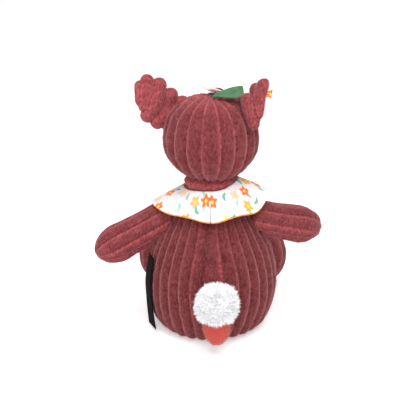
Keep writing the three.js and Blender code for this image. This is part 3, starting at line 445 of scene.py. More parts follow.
def add_node(tree, kind, sockets=None, **settings):
    node = tree.nodes.new(kind)
    for key, value in settings.items():
        setattr(node, key, value)
    for name, value in (sockets or {}).items():
        socket = pick(node.inputs, name)
        if isinstance(value, Wire):
            tree.links.new(value.socket, socket)
        else:
            socket.default_value = value
    first = next((s for s in node.outputs if s.enabled), None)
    return Wire(tree, first) if first else node


def blend_colours(share, a, b):
    """Colour a where the share is 0, and b where it is 1."""
    a, b = ([*c, 1] if isinstance(c, tuple) else c for c in (a, b))
    sockets = {"Factor_Float": share, "A_Color": a, "B_Color": b}
    return share.node("ShaderNodeMix", sockets, data_type="RGBA")["Result_Color"]


class Finish:
    """A material that is being put together."""

    def __init__(self, name):
        self.material = bpy.data.materials.new(name)
        self.material.use_nodes = True
        self.tree = self.material.node_tree
        self.tree.nodes.clear()

    def node(self, kind, sockets=None, **settings):
        return add_node(self.tree, kind, sockets, **settings)

    def place(self):
        return self.node("ShaderNodeTexCoord")["Object"]

    def mark(self, name):
        return self.node("ShaderNodeAttribute", attribute_name=name)["Fac"]

    def brushed_and_lit(self, colour):
        """A colour made lighter or darker by the nap mark, which holds the lie of the pile together with
        painted light and shade and the painted sheen along the wales.
        """
        return self.node("ShaderNodeVectorMath", {0: colour, "Scale": self.mark("nap")}, operation="SCALE")

    def lumps(self, size_mm, detail=2.0, at=None, roughness=0.5, seed=0.0):
        """Noise from 0 to 1 with lumps of a size."""
        sockets = {"Scale": 1000 / size_mm, "Detail": detail, "Roughness": roughness, "W": seed}
        sockets["Vector"] = at or self.place()
        return self.node("ShaderNodeTexNoise", sockets, noise_dimensions="4D")["Fac"]

    def done(self, colour, roughness, height=None, depth_mm=0.3, strength=1.0, **constant):
        """Joins it all to the surface. Height is raised by up to the depth."""
        colour = [*colour, 1] if isinstance(colour, tuple) else colour
        sockets = {"Base Color": colour, "Roughness": roughness}
        if height is not None:
            sockets["Normal"] = self.node("ShaderNodeBump", {
                "Height": height, "Distance": depth_mm * MM, "Strength": strength,
            })
        sockets.update({key.replace("_", " "): value for key, value in constant.items()})
        shader = self.node("ShaderNodeBsdfPrincipled", sockets)
        self.node("ShaderNodeOutputMaterial", {"Surface": shader})
        return self.material


def cord_finish():
    f = Finish("burgundy_cord")
    crest = f.mark("crest")
    drawn = f.node("ShaderNodeVectorMath", {0: f.place(), 1: (1, 1, 0.45)}, operation="MULTIPLY")
    speck = f.lumps(1.7, 3, drawn, 0.65)
    patch = f.lumps(8, 2, seed=3)
    low, mid, high = (0.11, 0.018, 0.021), (0.16, 0.027, 0.031), (0.36, 0.083, 0.088)
    # Painted shade: the colour darkens from mid to low down in the grooves between wales.
    colour = blend_colours(crest.between(0.0, 0.7), low, mid)
    colour = blend_colours((0.95 * speck + 0.25 * patch).between(0.42, 0.85), colour, high)
    colour = f.brushed_and_lit(colour)
    return f.done(colour, 0.85 + 0.1 * speck, speck, 1.2, 0.8, Sheen_Weight=0.5, Sheen_Roughness=0.35,
                  Sheen_Tint=(1.0, 0.5, 0.5, 1), Specular_IOR_Level=0.08)


def fuzz_finish(name, colour, tint, brushed_and_lit=False):
    f = Finish(name)
    shade = f.lumps(2, 2)
    light = tuple(min(1.0, 1.3 * c) for c in colour)
    colour = blend_colours(shade.between(0.3, 0.7), colour, light)
    # Pile that follows the nap mark takes its painted light and shade.
    return f.done(f.brushed_and_lit(colour) if brushed_and_lit else colour, 0.9, Sheen_Weight=0.8, Sheen_Tint=(*tint, 1),
                  Specular_IOR_Level=0.05)


def plush_finish(name, deep, high, tint):
    f = Finish(name)
    speck = f.lumps(1.0, 3, roughness=0.7)
    colour = blend_colours(speck.between(0.3, 0.75), deep, high)
    return f.done(colour, 0.9, speck, 0.5, 0.5, Sheen_Weight=0.5, Sheen_Roughness=0.4,
                  Sheen_Tint=(*tint, 1), Specular_IOR_Level=0.1)


def felt_finish(name, deep, high):
    f = Finish(name)
    matted = f.lumps(0.9, 5, roughness=0.75)
    cloud = f.lumps(5, 2, seed=2)
    colour = blend_colours((0.75 * matted + 0.4 * cloud).between(0.35, 0.8), deep, high)
    return f.done(colour, 0.95, matted, 0.35, 0.5, Sheen_Weight=0.25, Specular_IOR_Level=0.1)


def weave_height(f, flat, threads_mm):
    """Threads over and under, by where they lie in the cut cloth."""
    turns = 2 * math.pi / (threads_mm * MM)
    split = f.node("ShaderNodeSeparateXYZ", {"Vector": flat})
    return (split["X"] * turns).sine() * (split["Y"] * turns).sine() * 0.5 + 0.5


def scatter(f, flat, spacing_mm, seed):
    """Places strewn over the cloth: how far across and along the nearest one lies, in millimetres and turned
    at random, and the three numbers that go with it."""
    at = f.node("ShaderNodeVectorMath", {0: flat, 1: (seed * 1.37, seed * 0.71, 0)}, operation="ADD")
    cells = f.node("ShaderNodeTexVoronoi", {"Vector": at, "Scale": 1000 / spacing_mm, "Randomness": 0.8},
                   voronoi_dimensions="2D")
    spread = f.node("ShaderNodeVectorMath", {0: at, 1: cells["Position"]}, operation="SUBTRACT")
    chance = f.node("ShaderNodeSeparateColor", {"Color": cells["Color"]})
    turned = f.node("ShaderNodeVectorRotate", {"Vector": spread, "Angle": chance["Red"] * 6.283},
                    rotation_type="Z_AXIS")
    across = f.node("ShaderNodeSeparateXYZ", {"Vector": turned})
    return across["X"] * 1000, across["Y"] * 1000, chance


def print_finish():
    """Small scattered blossoms, leaves and dots on white cotton."""
    f = Finish("printed_cotton")
    flat = f.node("ShaderNodeUVMap", uv_map="flat")
    colour = (0.74, 0.73, 0.725)

    def dab(colour, inside, paint):
        return blend_colours(inside.between(0.0, 0.22), colour, paint)

    x, y, chance = scatter(f, flat, 10.5, 5)
    bow = x + 0.16 * y * y
    leaf = 1 - (y / 3.4) * (y / 3.4) - (bow / 1.25) * (bow / 1.25)
    leaf = leaf * chance["Green"].between(0.25, 0.27)
    green = blend_colours(chance["Blue"].between(0.45, 0.55), (0.3, 0.55, 0.46), (0.13, 0.36, 0.3))
    colour = dab(colour, leaf, green)

    x, y, chance = scatter(f, flat, 12.5, 2)
    away = (x * x + y * y) ** 0.5
    turn = x.sum("ARCTAN2", y, x)
    edge = 3.7 + 0.9 * (turn * 5).sine()
    kept = chance["Green"].between(0.16, 0.18)
    bloom = (edge - away) * kept
    petal = blend_colours(chance["Blue"].between(0.55, 0.58), (0.93, 0.55, 0.48), (0.86, 0.16, 0.05))
    petal = blend_colours(chance["Blue"].between(0.25, 0.28), (0.92, 0.36, 0.06), petal)
    colour = dab(colour, bloom, petal)
    colour = dab(colour, (1.3 - away) * kept, (0.95, 0.58, 0.08))

    x, y, chance = scatter(f, flat, 3.6, 8)
    away = (x * x + y * y) ** 0.5
    dot = (0.6 - away) * chance["Green"].between(0.4, 0.42)
    paint = blend_colours(chance["Blue"].between(0.5, 0.52), (0.9, 0.45, 0.1), (0.35, 0.6, 0.5))
    colour = dab(colour, dot, paint)

    weave = weave_height(f, flat, 0.7)
    return f.done(colour, 0.85, weave, 0.06, 0.6, Sheen_Weight=0.1, Specular_IOR_Level=0.2)


def lining_finish():
    f = Finish("orange_lining")
    flat = f.node("ShaderNodeUVMap", uv_map="flat")
    slub = f.lumps(2.5, 3)
    colour = blend_colours(slub.between(0.35, 0.7), (0.72, 0.2, 0.025), (0.86, 0.32, 0.05))
    return f.done(colour, 0.8, weave_height(f, flat, 0.7), 0.06, 0.6, Sheen_Weight=0.1)


def ribbon_finish():
    f = Finish("black_ribbon")
    split = f.node("ShaderNodeSeparateXYZ", {"Vector": f.place()})
    ribs = (split["Z"] * 9000).sine() * 0.5 + 0.5
    shade = f.lumps(3, 2)
    colour = blend_colours(shade.between(0.3, 0.8), (0.003, 0.002, 0.0025), (0.007, 0.004, 0.005))
    return f.done(colour, 0.8 + 0.1 * shade, ribs, 0.05, 0.4, Specular_IOR_Level=0.05)


def thread_finish(name, deep, high):
    f = Finish(name)
    strand = f.lumps(0.6, 3)
    colour = blend_colours(strand.between(0.35, 0.7), deep, high)
    return f.done(colour, 0.55, strand, 0.15, 0.5, Sheen_Weight=0.2)


def plastic_finish(name, colour, roughness, coat):
    f = Finish(name)
    smear = f.lumps(4, 2)
    return f.done(colour, roughness + 0.05 * smear, smear, 0.01, 0.2, Coat_Weight=coat)


FINISH = {
    "burgundy_cord": cord_finish(),
    "burgundy_pile": fuzz_finish("burgundy_pile", (0.26, 0.055, 0.06), (1.0, 0.55, 0.55), True),
    "printed_cotton": print_finish(),
    "orange_lining": lining_finish(),
    "cream_plush": plush_finish("cream_plush", (0.6, 0.5, 0.38), (0.85, 0.76, 0.63), (1, 0.95, 0.88)),
    "coral_velour": plush_finish("coral_velour", (0.43, 0.055, 0.045), (0.62, 0.1, 0.08), (1, 0.65, 0.55)),
    "pink_felt": felt_finish("pink_felt", (0.8, 0.46, 0.43), (0.93, 0.66, 0.62)),
    "green_felt": felt_finish("green_felt", (0.036, 0.105, 0.05), (0.08, 0.18, 0.085)),
    "brown_thread": thread_finish("brown_thread", (0.035, 0.012, 0.01), (0.1, 0.04, 0.035)),
    "white_pile": fuzz_finish("white_pile", (0.84, 0.83, 0.87), (1.0, 1.0, 1.0)),
    "coral_pile": fuzz_finish("coral_pile", (0.5, 0.08, 0.065), (1.0, 0.65, 0.55)),
    "black_ribbon": ribbon_finish(),
    "black_plastic": plastic_finish("black_plastic", (0.006, 0.005, 0.006), 0.08, 0.6),
    "clear_plastic": plastic_finish("clear_plastic", (0.7, 0.7, 0.68), 0.35, 0.2),
}


# Torso, neck and head


def round_rings(profile, turns, middle=(0, 0, 0)):
    """Rings of a form turned about an upright line, with each turn measured from straight behind."""
    r, z = profile[:, :1], profile[:, 1:]
    return np.stack([r * np.sin(turns), -r * np.cos(turns), z + 0 * turns], -1) + middle


def narrowing(height):
    """The share by which the left side is drawn in at a height."""
    return LEFT_NARROWING * ease(5, 40, height)


def make_torso():
    edges = BACK_GROOVE + np.arange(TORSO_WALES + 1) * 360 / TORSO_WALES
    # light is the painted sheen across each wale.
    turns, sunk, light = cord_columns(edges, np.ones(len(edges)))
    profile = spline(np.array(TORSO_PROFILE) * [BELLY_RADIUS, TORSO_HEIGHT], 110)
    r, z = profile[:, :1], profile[:, 1:]
    # The wales part a little beside the back seam, above the tail.
    off = np.degrees(np.angle(np.exp(1j * (turns - math.radians(5)))))
    turns = turns + np.radians(5) * np.tanh(off / 7) * hill(off, 40) * hill(z - 55, 26)
    grid = round_rings(profile, turns)
    grid[..., 0] *= 1 - ease(0, -40, grid[..., 0]) * narrowing(grid[..., 2])
    dent = 4.2 * hill(np.linalg.norm(grid - TAIL_DENT, axis=-1), 8.5)
    grid = grid - outward(grid) * dent[..., None]
    low = ease(20, 6, z)
    strength = np.minimum(WALE_DEPTH + 0.9 * low, 0.21 * 2 * np.pi * r / TORSO_WALES)
    under = ease(0.45 * BELLY_RADIUS, 0.66 * BELLY_RADIUS, r)
    strength = strength * np.where(z > 20, ease(10, 22, r), under)
    return cord_cover("torso_cover", grid, strength * sunk, 1, "torso", light=light)


def make_neck():
    edges = np.arange(12) * 360 / 11 + BACK_GROOVE
    turns, sunk, _ = cord_columns(edges, np.ones(len(edges)))
    base, wide = TORSO_HEIGHT, NECK_RADIUS
    profile = spline([(12, base - 0.2), (wide - 1.5, base + 0.3), (wide - 0.8, base + 6),
                      (wide + 0.4, base + 12), (wide - 4, base + 16)], 30)
    grid = round_rings(profile, turns)
    return cord_cover("neck_cover", grid, 1.3 * sunk + 0 * profile[:, :1], 7, "neck", 0.8)


def make_head():
    """The wales run up from the neck on either side of the back seam and draw together at the top."""
    turns = np.radians(np.linspace(0, 360, 400, endpoint=False))
    rise = np.linspace(-np.pi / 2 + 0.02, np.pi / 2 - 0.02, 150)
    full = lerp(0.96, HEAD_FULL, ease(-0.2, 0.5, rise))
    high = np.sign(rise) * np.abs(np.sin(rise)) ** lerp(1, HEAD_FULL, ease(0, 0.6, rise))
    profile = np.stack([HEAD_RADIUS * np.cos(rise) ** full, HEAD_HALF * high], -1)
    grid = round_rings(profile, turns, HEAD)
    level = np.sin(rise)[:, None] ** 2
    side = np.cos(rise)[:, None] ** 2 * np.sin(turns) ** 2
    root = np.sqrt((1 - level) ** 2 + 4 * HEAD_ARCH * level * side)
    arch = np.degrees(np.arcsin(np.sqrt(np.clip(2 * side / (1 - level + root), 0, 1))))
    half = 0.5 * (HEAD_GROOVES[1] - HEAD_GROOVES[0])
    near = np.min([np.abs(arch - groove) for groove in HEAD_GROOVES], axis=0)
    sunk = np.clip(1 - near / half, 0, 1) ** 2
    # Painted light: up to half as light again near the top of the head, where light from above falls; times
    # the painted sheen across the wales.
    painted_top_light = 1 + 0.5 * ease(0.7, 0.98, np.sin(rise))[:, None]
    light = painted_wale_sheen((arch - HEAD_GROOVES[0]) / (2 * half) % 1) * painted_top_light
    seam = hill(grid[..., 0], 0.7) * (np.cos(turns) > 0)
    strength = WALE_DEPTH * (0.4 + 0.6 * np.cos(rise)[:, None])
    return cord_cover("head_cover", grid, strength * sunk + 0.9 * seam, 11, "head", light=light)


# Arms and legs


def make_arm(name):
    side, place = SIDES[name], ARMS[name]
    droop, ahead = math.radians(place["droop"]), math.radians(place["ahead"])
    level = math.cos(droop)
    along = np.array([side * level * math.cos(ahead), level * math.sin(ahead), -math.sin(droop)])
    x, y, z = axes(along, (0, 0, 1))
    radius, length = ARM_TIP
    straight = spline([(14, -9), (15.4, 4), (ARM_RADIUS - 0.8, 19), (radius, ARM_LENGTH - length)], 44)
    a = np.linspace(0, np.pi / 2 - 0.03, 30)[1:]
    tip = np.stack([radius * np.cos(a), ARM_LENGTH - length + length * np.sin(a)], -1)
    profile = np.vstack([straight, tip])
    seam = -ARM_SEAM if side < 0 else ARM_SEAM - 180
    edges = seam + np.arange(ARM_WALES + 1) * 360 / ARM_WALES
    # light is the painted sheen across each wale.
    turns, sunk, light = cord_columns(edges, [1.7, *[1] * (ARM_WALES - 1), 1.7], 90)
    r, far = profile[:, :1], profile[:, 1:]
    ring = (r * np.cos(turns))[..., None] * x + (r * np.sin(turns))[..., None] * y
    grid = PIVOTS[f"{name}_arm"] + ring + (far + 0 * turns)[..., None] * z
    strength = np.minimum(2.5, 0.2 * 2 * np.pi * r / ARM_WALES) * ease(0, 8, r)
    return cord_cover(f"{name}_arm_cover", grid, strength * sunk, 20 + side, "arm", 0.9, light), along


def make_leg(name):
    """The wales run round the leg, so that one follows the rim of the foot."""
    side = SIDES[name]
    hip = PIVOTS[f"{name}_leg"]
    fine = spline(LEG_STATIONS, 400)
    wales = round(np.sum(np.linalg.norm(np.diff(fine, axis=0), axis=1)) / WALE_PITCH)
    share, sunk, _ = cord_columns(np.arange(wales + 1), [*[1] * wales, 0])
    share = np.append(np.degrees(share) / wales, 1)
    sunk = np.append(sunk, 0)
    at, wide, tall = (np.interp(share, np.linspace(0, 1, 400), fine[:, i])[:, None] for i in range(3))
    turns = full_turn(110)
    level = LEG_CLEARANCE + np.maximum(tall, 17)
    x = hip[0] + LEG_SLOPES[name] * at - wide * np.cos(turns)
    grid = np.stack([x, hip[1] + at + 0 * turns, level + tall * np.sin(turns)], -1)
    return cord_cover(f"{name}_leg_cover", grid, 2.0 * sunk[:, None] + 0 * x, 30 + side, "leg", 0.8)


def make_sole(name):
    hip = PIVOTS[f"{name}_leg"]
    wide, tall, crown = SOLE
    shares = np.concatenate([[0.9], np.linspace(1, 0.03, 18)])
    ahead = np.concatenate([[-0.6], crown * (1 - np.linspace(1, 0.03, 18) ** 2.4)])
    turn = full_turn(72)
    across = hip[0] + LEG_SLOPES[name] * LEG_LENGTH
    middle = np.array([across, hip[1] + LEG_LENGTH + 0.2, LEG_CLEARANCE + 28.5])
    s, d = shares[:, None], ahead[:, None]
    grid = middle + np.stack([-wide * s * np.cos(turn), d + 0 * turn, tall * s * np.sin(turn)], -1)
    return wrapped(f"{name}_sole_pad", lumpy(grid, 0.35, 6, 41), FINISH["cream_plush"])


# Ears


def ear_axes(name):
    side, place = SIDES[name], EARS[name]
    lean, back, turn = (math.radians(place[k]) for k in ("lean", "back", "turn"))
    along = unit([side * math.tan(lean), -math.tan(back), 1])
    return axes(along, [side * math.sin(turn), math.cos(turn), 0])


def ear_field(places, wales, ways=(0, 2)):
    """For places in an ear's own axes: how far outside each wale they lie, by the axes that count, and how
    far forward its middle runs there."""
    away, ahead = [], []
    for points, radius in wales:
        line = spline(points, 20)
        gap = np.linalg.norm((places[..., None, :] - line)[..., list(ways)], axis=-1)
        nearest = np.argmin(gap, axis=-1)
        away.append(np.min(gap, axis=-1) - radius)
        ahead.append(line[nearest, 1])
    return np.array(away), np.array(ahead)


def cord_roll(points, radius):
    """A round roll of cord with round ends, flatter in front, as rings."""
    line = spline(points, 24)
    way = unit(np.gradient(line, axis=0))
    a = np.linspace(0.12, np.pi / 2, 8)[:-1]
    first = line[0] - way[0] * (radius * np.cos(a))[:, None]
    last = line[-1] + way[-1] * (radius * np.cos(a))[::-1, None]
    middles = np.vstack([first, line, last])
    ways = np.vstack([np.repeat(way[:1], len(a), 0), way, np.repeat(way[-1:], len(a), 0)])
    radii = radius * np.concatenate([np.sin(a), np.ones(len(line)), np.sin(a)[::-1]])
    return swept(middles, ways, radii, (0, 1, 0), 28, EAR_FRONT)


def fused(parts, voxel, rounds):
    """One skin round several closed pieces, eased by rounds of smoothing, as points and faces."""
    parts[0].select_set(True)
    chosen = {"active_object": parts[0], "selected_editable_objects": parts, "selected_objects": parts}
    with bpy.context.temp_override(**chosen):
        bpy.ops.object.join()
    obj = parts[0]
    fuse = obj.modifiers.new("fuse", "REMESH")
    fuse.mode, fuse.voxel_size = "VOXEL", voxel * MM
    ease_out = obj.modifiers.new("ease", "SMOOTH")
    ease_out.factor, ease_out.iterations = 0.5, rounds
    mesh = made_plain(obj)
    bpy.data.objects.remove(obj)
    points = np.array([v.co for v in mesh.vertices]) / MM
    return points, [tuple(p.vertices) for p in mesh.polygons]


def make_ear(name):
    """The cord back, whose wales end in round lobes."""
    wales, root, ways = EARS[name]["wales"], PIVOTS[f"{name}_ear"], np.array(ear_axes(name))
    cord = FINISH["burgundy_cord"]
    rolls = [wrapped("ear_roll", root + cord_roll(*wale) @ ways, cord) for wale in wales]
    points, faces = fused(rolls, 0.6, 4)
    away, _ = ear_field((points - root) @ ways.T, wales, (0, 1, 2))
    first, second = np.sort(away, axis=0)[:2]
    crest = ease(0, 3, second - first)
    bumps = 0.3 * grain(points, 5, 50 + SIDES[name])[:, None] * unit(points - root - [0, 0, 15])
    # Painted highlight: the nap mark is raised by up to 0.4 along each lobe's flanks, half way down to the
    # groove.
    marks = {"crest": crest, "nap": NAP_AND_PAINTED_LIGHT[f"{name}_ear"] * (1 + 0.4 * hill(crest - 0.5, 0.3))}
    return add_mesh(f"{name}_ear_cover", points + bumps, faces, cord, marks)


def make_ear_lining(name):
    """A printed sheet that fills the ear's front inside its lobes."""
    wales, root, ways = EARS[name]["wales"], PIVOTS[f"{name}_ear"], np.array(ear_axes(name))
    middle = np.mean([np.mean(points, axis=0) for points, _ in wales[1:]], axis=0)
    turn = full_turn(200)
    way = np.stack([np.cos(turn), 0 * turn, np.sin(turn)], -1)
    walk = np.linspace(0, 40, 400)
    inside = np.min(ear_field(middle + walk[:, None, None] * way, wales)[0], axis=0) < -2
    reach = walk[len(walk) - 1 - np.argmax(inside[::-1], axis=0)]
    reach = np.mean([np.roll(reach, i) for i in range(-4, 5)], axis=0)
    s = np.sin(np.linspace(0.04, np.pi / 2, 30))[:, None]
    flat = middle + (s * reach)[..., None] * way
    away, ahead = ear_field(flat, wales)
    weight = np.exp(-away / 3)
    front = np.sum(weight * ahead, axis=0) / np.sum(weight, axis=0) + EAR_FRONT * 6.2 - 0.4
    flat[..., 1] = front + EARS[name]["pillow"] * (1 - s**6)
    low = root + flat @ ways
    high = low + COTTON * ways[1]
    uv = np.concatenate([flat, flat[::-1]])[..., [0, 2]] * MM
    grid = np.concatenate([low, high[::-1]])
    return wrapped(f"{name}_ear_print", grid, FINISH["printed_cotton"], flat=uv)


# Collar


def make_collar(name):
    side, place = SIDES[name], COLLAR[name]
    u = np.linspace(0, 1, 100)[:, None]
    v = np.linspace(0, 1, 26)[None, :]
    turn = lerp(-90 + COLLAR_SLIT, 90 - COLLAR_SLIT, u)
    angle = np.radians(turn)
    sideways = np.cos(angle) ** 2
    underside = TORSO_HEIGHT - 0.4
    peel = place["peel"] * hill(turn - 25, 22)

    def layer(lift, beyond, inner, stand):
        """One cloth of the collar, and where its points lay when it was cut."""
        shares = np.abs([np.cos(angle) / place["reach"], np.sin(angle) / COLLAR_BACK["reach"]])
        reach = np.sum(shares ** place["corner"], axis=0) ** (-1 / place["corner"]) + beyond
        drop = lerp(COLLAR_BACK["drop"], place["drop"], sideways) + place["sag"] * hill(turn + 33, 16)
        ride = lerp(COLLAR_BACK["ride"], place["ride"], sideways)
        radius = lerp(inner, reach, v)
        out = (radius - COLLAR_INNER) / (reach - COLLAR_INNER)
        ripple = 0.9 * out * (1 - np.cos(6 * np.pi * u)) + 0.8 * np.sin(np.pi * out) ** 2
        height = underside + ride - drop * out + ripple + lift + stand * ease(0.2, 0.0, v)
        grid = np.stack([side * radius * np.cos(angle), radius * np.sin(angle), height + 0 * radius], -1)
        grid[..., 2] += 0.35 * grain(grid, 12, 60 + side) * v
        flat = np.stack([radius * np.cos(angle), radius * np.sin(angle)], -1) * MM + place["cut"]
        return grid, flat

    up = np.array([0, 0, 1.0])
    grid, flat = layer(0.3, -0.35, COLLAR_INNER, peel)
    lining = sheet_on(f"{name}_collar_under", grid, COTTON, FINISH["orange_lining"], up, flat)
    grid, flat = layer(1.5, 0.0, COLLAR_INNER + peel, 0.0)
    top = sheet_on(f"{name}_collar_top", grid, COTTON, FINISH["printed_cotton"], up, flat)
    return top, lining


# Flower


def on_head(x, ahead):
    share = (x * x + ahead * ahead) / HEAD_RADIUS**2
    return HEAD + [x, ahead, math.sqrt(1 - share) * HEAD_HALF]


def make_flower():
    root = on_head(6, 9)
    facing = unit((root - HEAD) * [1, 1, (HEAD_RADIUS / HEAD_HALF) ** 2])
    ways = np.array(axes(facing, (0, 1, 0)))
    turn = full_turn(150)
    notch = 3.2 * (1 - np.abs(np.sin(2.5 * turn)) ** 0.8)
    s = np.linspace(0.04, 1, 26)[:, None]
    radius = s * (PETAL_RADIUS - s**2 * notch)
    height = 1.3 + 2.8 * s**2 - 0.7 * np.cos(5 * turn) * s**2
    low = np.stack([radius * np.cos(turn), radius * np.sin(turn), height], -1)
    high = low + np.array([0, 0, 1.9]) * np.sqrt(np.clip(1 - s**10, 0, 1))[..., None]
    grid = root + np.concatenate([low[:-1], high[::-1]]) @ ways
    petals = wrapped("flower_petal_ring", grid, FINISH["pink_felt"])

    rise = np.linspace(0, np.pi / 2 - 0.05, 12)
    dome = round_rings(np.stack([4.5 * np.cos(rise), 3.9 + 2.2 * np.sin(rise)], -1), full_turn(36))
    return petals, wrapped("flower_knot", root + dome @ ways, FINISH["brown_thread"])


def make_leaf():
    root = on_head(2, -7) + [0, 0, 0.8]
    tilt, rise = math.radians(25), math.radians(9)
    ways = np.array(axes([math.cos(rise), 0, math.sin(rise)], [0, -math.sin(tilt), math.cos(tilt)]))
    u = np.linspace(0, 1, 44)[:, None]
    across = np.linspace(-1, 1, 25)[None, :]
    half = LEAF_HALF * np.sin(np.pi * lerp(0.02, 0.62, u**1.2)) ** 0.8
    local = np.stack([across * half, 1.5 * np.abs(across) + 0 * u, LEAF_LENGTH * u + 0 * across], -1)
    return sheet_on("flower_leaf_felt", root + local @ ways, 1.8, FINISH["green_felt"], ways[1])


# Face


def ellipsoid(name, middle, half, material, seed, rough=0.3):
    rise = np.linspace(-np.pi / 2 + 0.03, np.pi / 2 - 0.03, 48)
    ball = round_rings(np.stack([np.cos(rise), np.sin(rise)], -1), full_turn(80))
    return wrapped(name, lumpy(ball * half + middle, rough, 6, seed), material)


MUZZLE = HEAD + [0, HEAD_RADIUS - 4, -12]
MUZZLE_HALF = np.array([22, 18, 16.5])
NOSE_HALF = (8, 5.5, 3.6)
EYE_ASIDE, EYE_RISE, EYE_RADIUS = 19, 8, 5


def on_muzzle(across, rise):
    a, r = math.radians(across), math.radians(rise)
    return MUZZLE + MUZZLE_HALF * [math.sin(a) * math.cos(r), math.cos(a) * math.cos(r), math.sin(r)]


def stitched_line(name, points):
    """A thick thread through points."""
    path = spline(points, 40)
    along = unit(np.gradient(path, axis=0))
    return wrapped(name, swept(path, along, [0.9] * len(path), (0.3, 1, 0.2), 10), FINISH["brown_thread"])


def make_nose():
    """A dome of satin stitch."""
    tip = on_muzzle(0, 32)
    facing = unit((tip - MUZZLE) / MUZZLE_HALF**2)
    rise = np.linspace(-0.5, np.pi / 2 - 0.04, 22)
    local = round_rings(np.stack([np.cos(rise), np.sin(rise)], -1), full_turn(72)) * NOSE_HALF
    local[..., 2] += 0.22 * np.sin(local[..., 0] * 2 * np.pi / 1.3)
    return wrapped("nose_satin", tip + local @ np.array(axes(facing, (0, 0, 1))), FINISH["brown_thread"])


def make_eye(name):
    """A dome on a shank that goes through the cover."""
    level = EYE_RISE / HEAD_HALF
    ahead = math.sqrt((1 - level**2) * HEAD_RADIUS**2 - EYE_ASIDE**2)
    at = HEAD + [SIDES[name] * EYE_ASIDE, ahead, EYE_RISE]
    ways = axes(unit((at - HEAD) * [1, 1, (HEAD_RADIUS / HEAD_HALF) ** 2]), (0, 0, 1))
    a = np.linspace(0, np.pi / 2 - 0.04, 16)
    dome = np.stack([EYE_RADIUS * np.cos(a), 0.3 + 4.2 * np.sin(a)], -1)
    profile = np.vstack([[(1.8, -9), (1.8, -0.4), (4.6, -0.3)], dome])
    grid = at + round_rings(profile, full_turn(48)) @ np.array(ways)
    return wrapped(f"{name}_eye_dome", grid, FINISH["black_plastic"])


def make_face():
    """Pieces with the CAD node that each stands for and its finish."""
    muzzle = ellipsoid("muzzle_pad", MUZZLE, MUZZLE_HALF, FINISH["cream_plush"], 71)
    stem = [on_muzzle(0, lerp(14, -14, s)) for s in np.linspace(0, 1, 5)]
    smile = [on_muzzle(s * 24, -14 + 9 * s * s) for s in np.linspace(-1, 1, 9)]
    return [
        (muzzle, "muzzle", "cream_plush"),
        (make_nose(), "nose", "brown_thread"),
        (stitched_line("mouth_stem", stem), "mouth", "brown_thread"),
        (stitched_line("mouth_line", smile), None, "brown_thread"),
        *[(make_eye(name), f"{name}_eye", "black_plastic") for name in SIDES],
    ]


# Tail and label


def make_tail():
    radius, length, tuck = TAIL_TIP
    rise = np.linspace(-np.pi / 2 + 0.03, 0, 34)
    profile = np.stack([radius * np.cos(rise) ** 1.25, length * np.sin(rise)], -1)
    profile = np.vstack([profile, [(radius, tuck * s) for s in (0.3, 0.6, 1)]])
    grid = round_rings(profile, full_turn(72), POMPOM - [0, 0, TAIL_TIP_DROP])
    tip = wrapped("tail_tip_velour", lumpy(grid, 0.5, 7, 81), FINISH["coral_velour"])
    core = ellipsoid("pompom_core", POMPOM, np.full(3, POMPOM_CORE), FINISH["white_pile"], 86, 2.4)
    return tip, core


def make_label():
    """The ribbon lies on the torso down to the belly, and hangs nearly straight below it."""
    wide, long = LABEL_SIZE
    top = PIVOTS["label"][2]
    u = np.linspace(0, 1, 60)[:, None]
    v = np.linspace(-0.5, 0.5, 11)[None, :]
    height = top - u * long
    belly = BELLY_LEVEL * TORSO_HEIGHT
    profile = spline(np.array(TORSO_PROFILE[3:]) * [BELLY_RADIUS, TORSO_HEIGHT], 300)
    on_torso = np.interp(height, profile[:, 1], profile[:, 0]) * (1 - narrowing(height))
    hanging = BELLY_RADIUS * (1 - LEFT_NARROWING) - 3.6 * np.clip((belly - height) / belly, 0, 1) ** 1.5
    away = np.where(height > belly, on_torso, np.maximum(hanging, on_torso)) + 1
    twist = np.radians(lerp(14, 23, u))
    middle = np.stack([-away * math.cos(SIDE_SEAM), -away * math.sin(SIDE_SEAM), height], -1)
    across = np.stack([-np.sin(twist), np.cos(twist), 0 * u], -1)
    grid = middle + (v * wide)[..., None] * across
    return sheet_on("label_ribbon", grid, 0.9, FINISH["black_ribbon"], np.array([-1.0, -0.3, 0]))


# Pile


def strand(length, radius, bend, segments):
    """One tapered fibre that stands along Z, in millimetres."""
    t = np.linspace(0, 1, segments + 1)[:-1, None]
    turn = np.radians([0, 120, 240])
    thin = radius * (1 - 0.8 * t)
    across = thin * np.cos(turn) + bend * length * t * t
    rings = np.stack([across, thin * np.sin(turn), length * t + 0 * turn], -1)
    points = np.vstack([rings.reshape(-1, 3), [(bend * length, 0, length)]])
    faces = [(3 * i + j, 3 * i + (j + 1) % 3, 3 * i + 3 + (j + 1) % 3, 3 * i + 3 + j)
             for i in range(segments - 1) for j in range(3)]
    last = 3 * (segments - 1)
    faces += [(last + j, last + (j + 1) % 3, len(points) - 1) for j in range(3)]
    return add_mesh("strand", points, faces, FINISH["white_pile"])


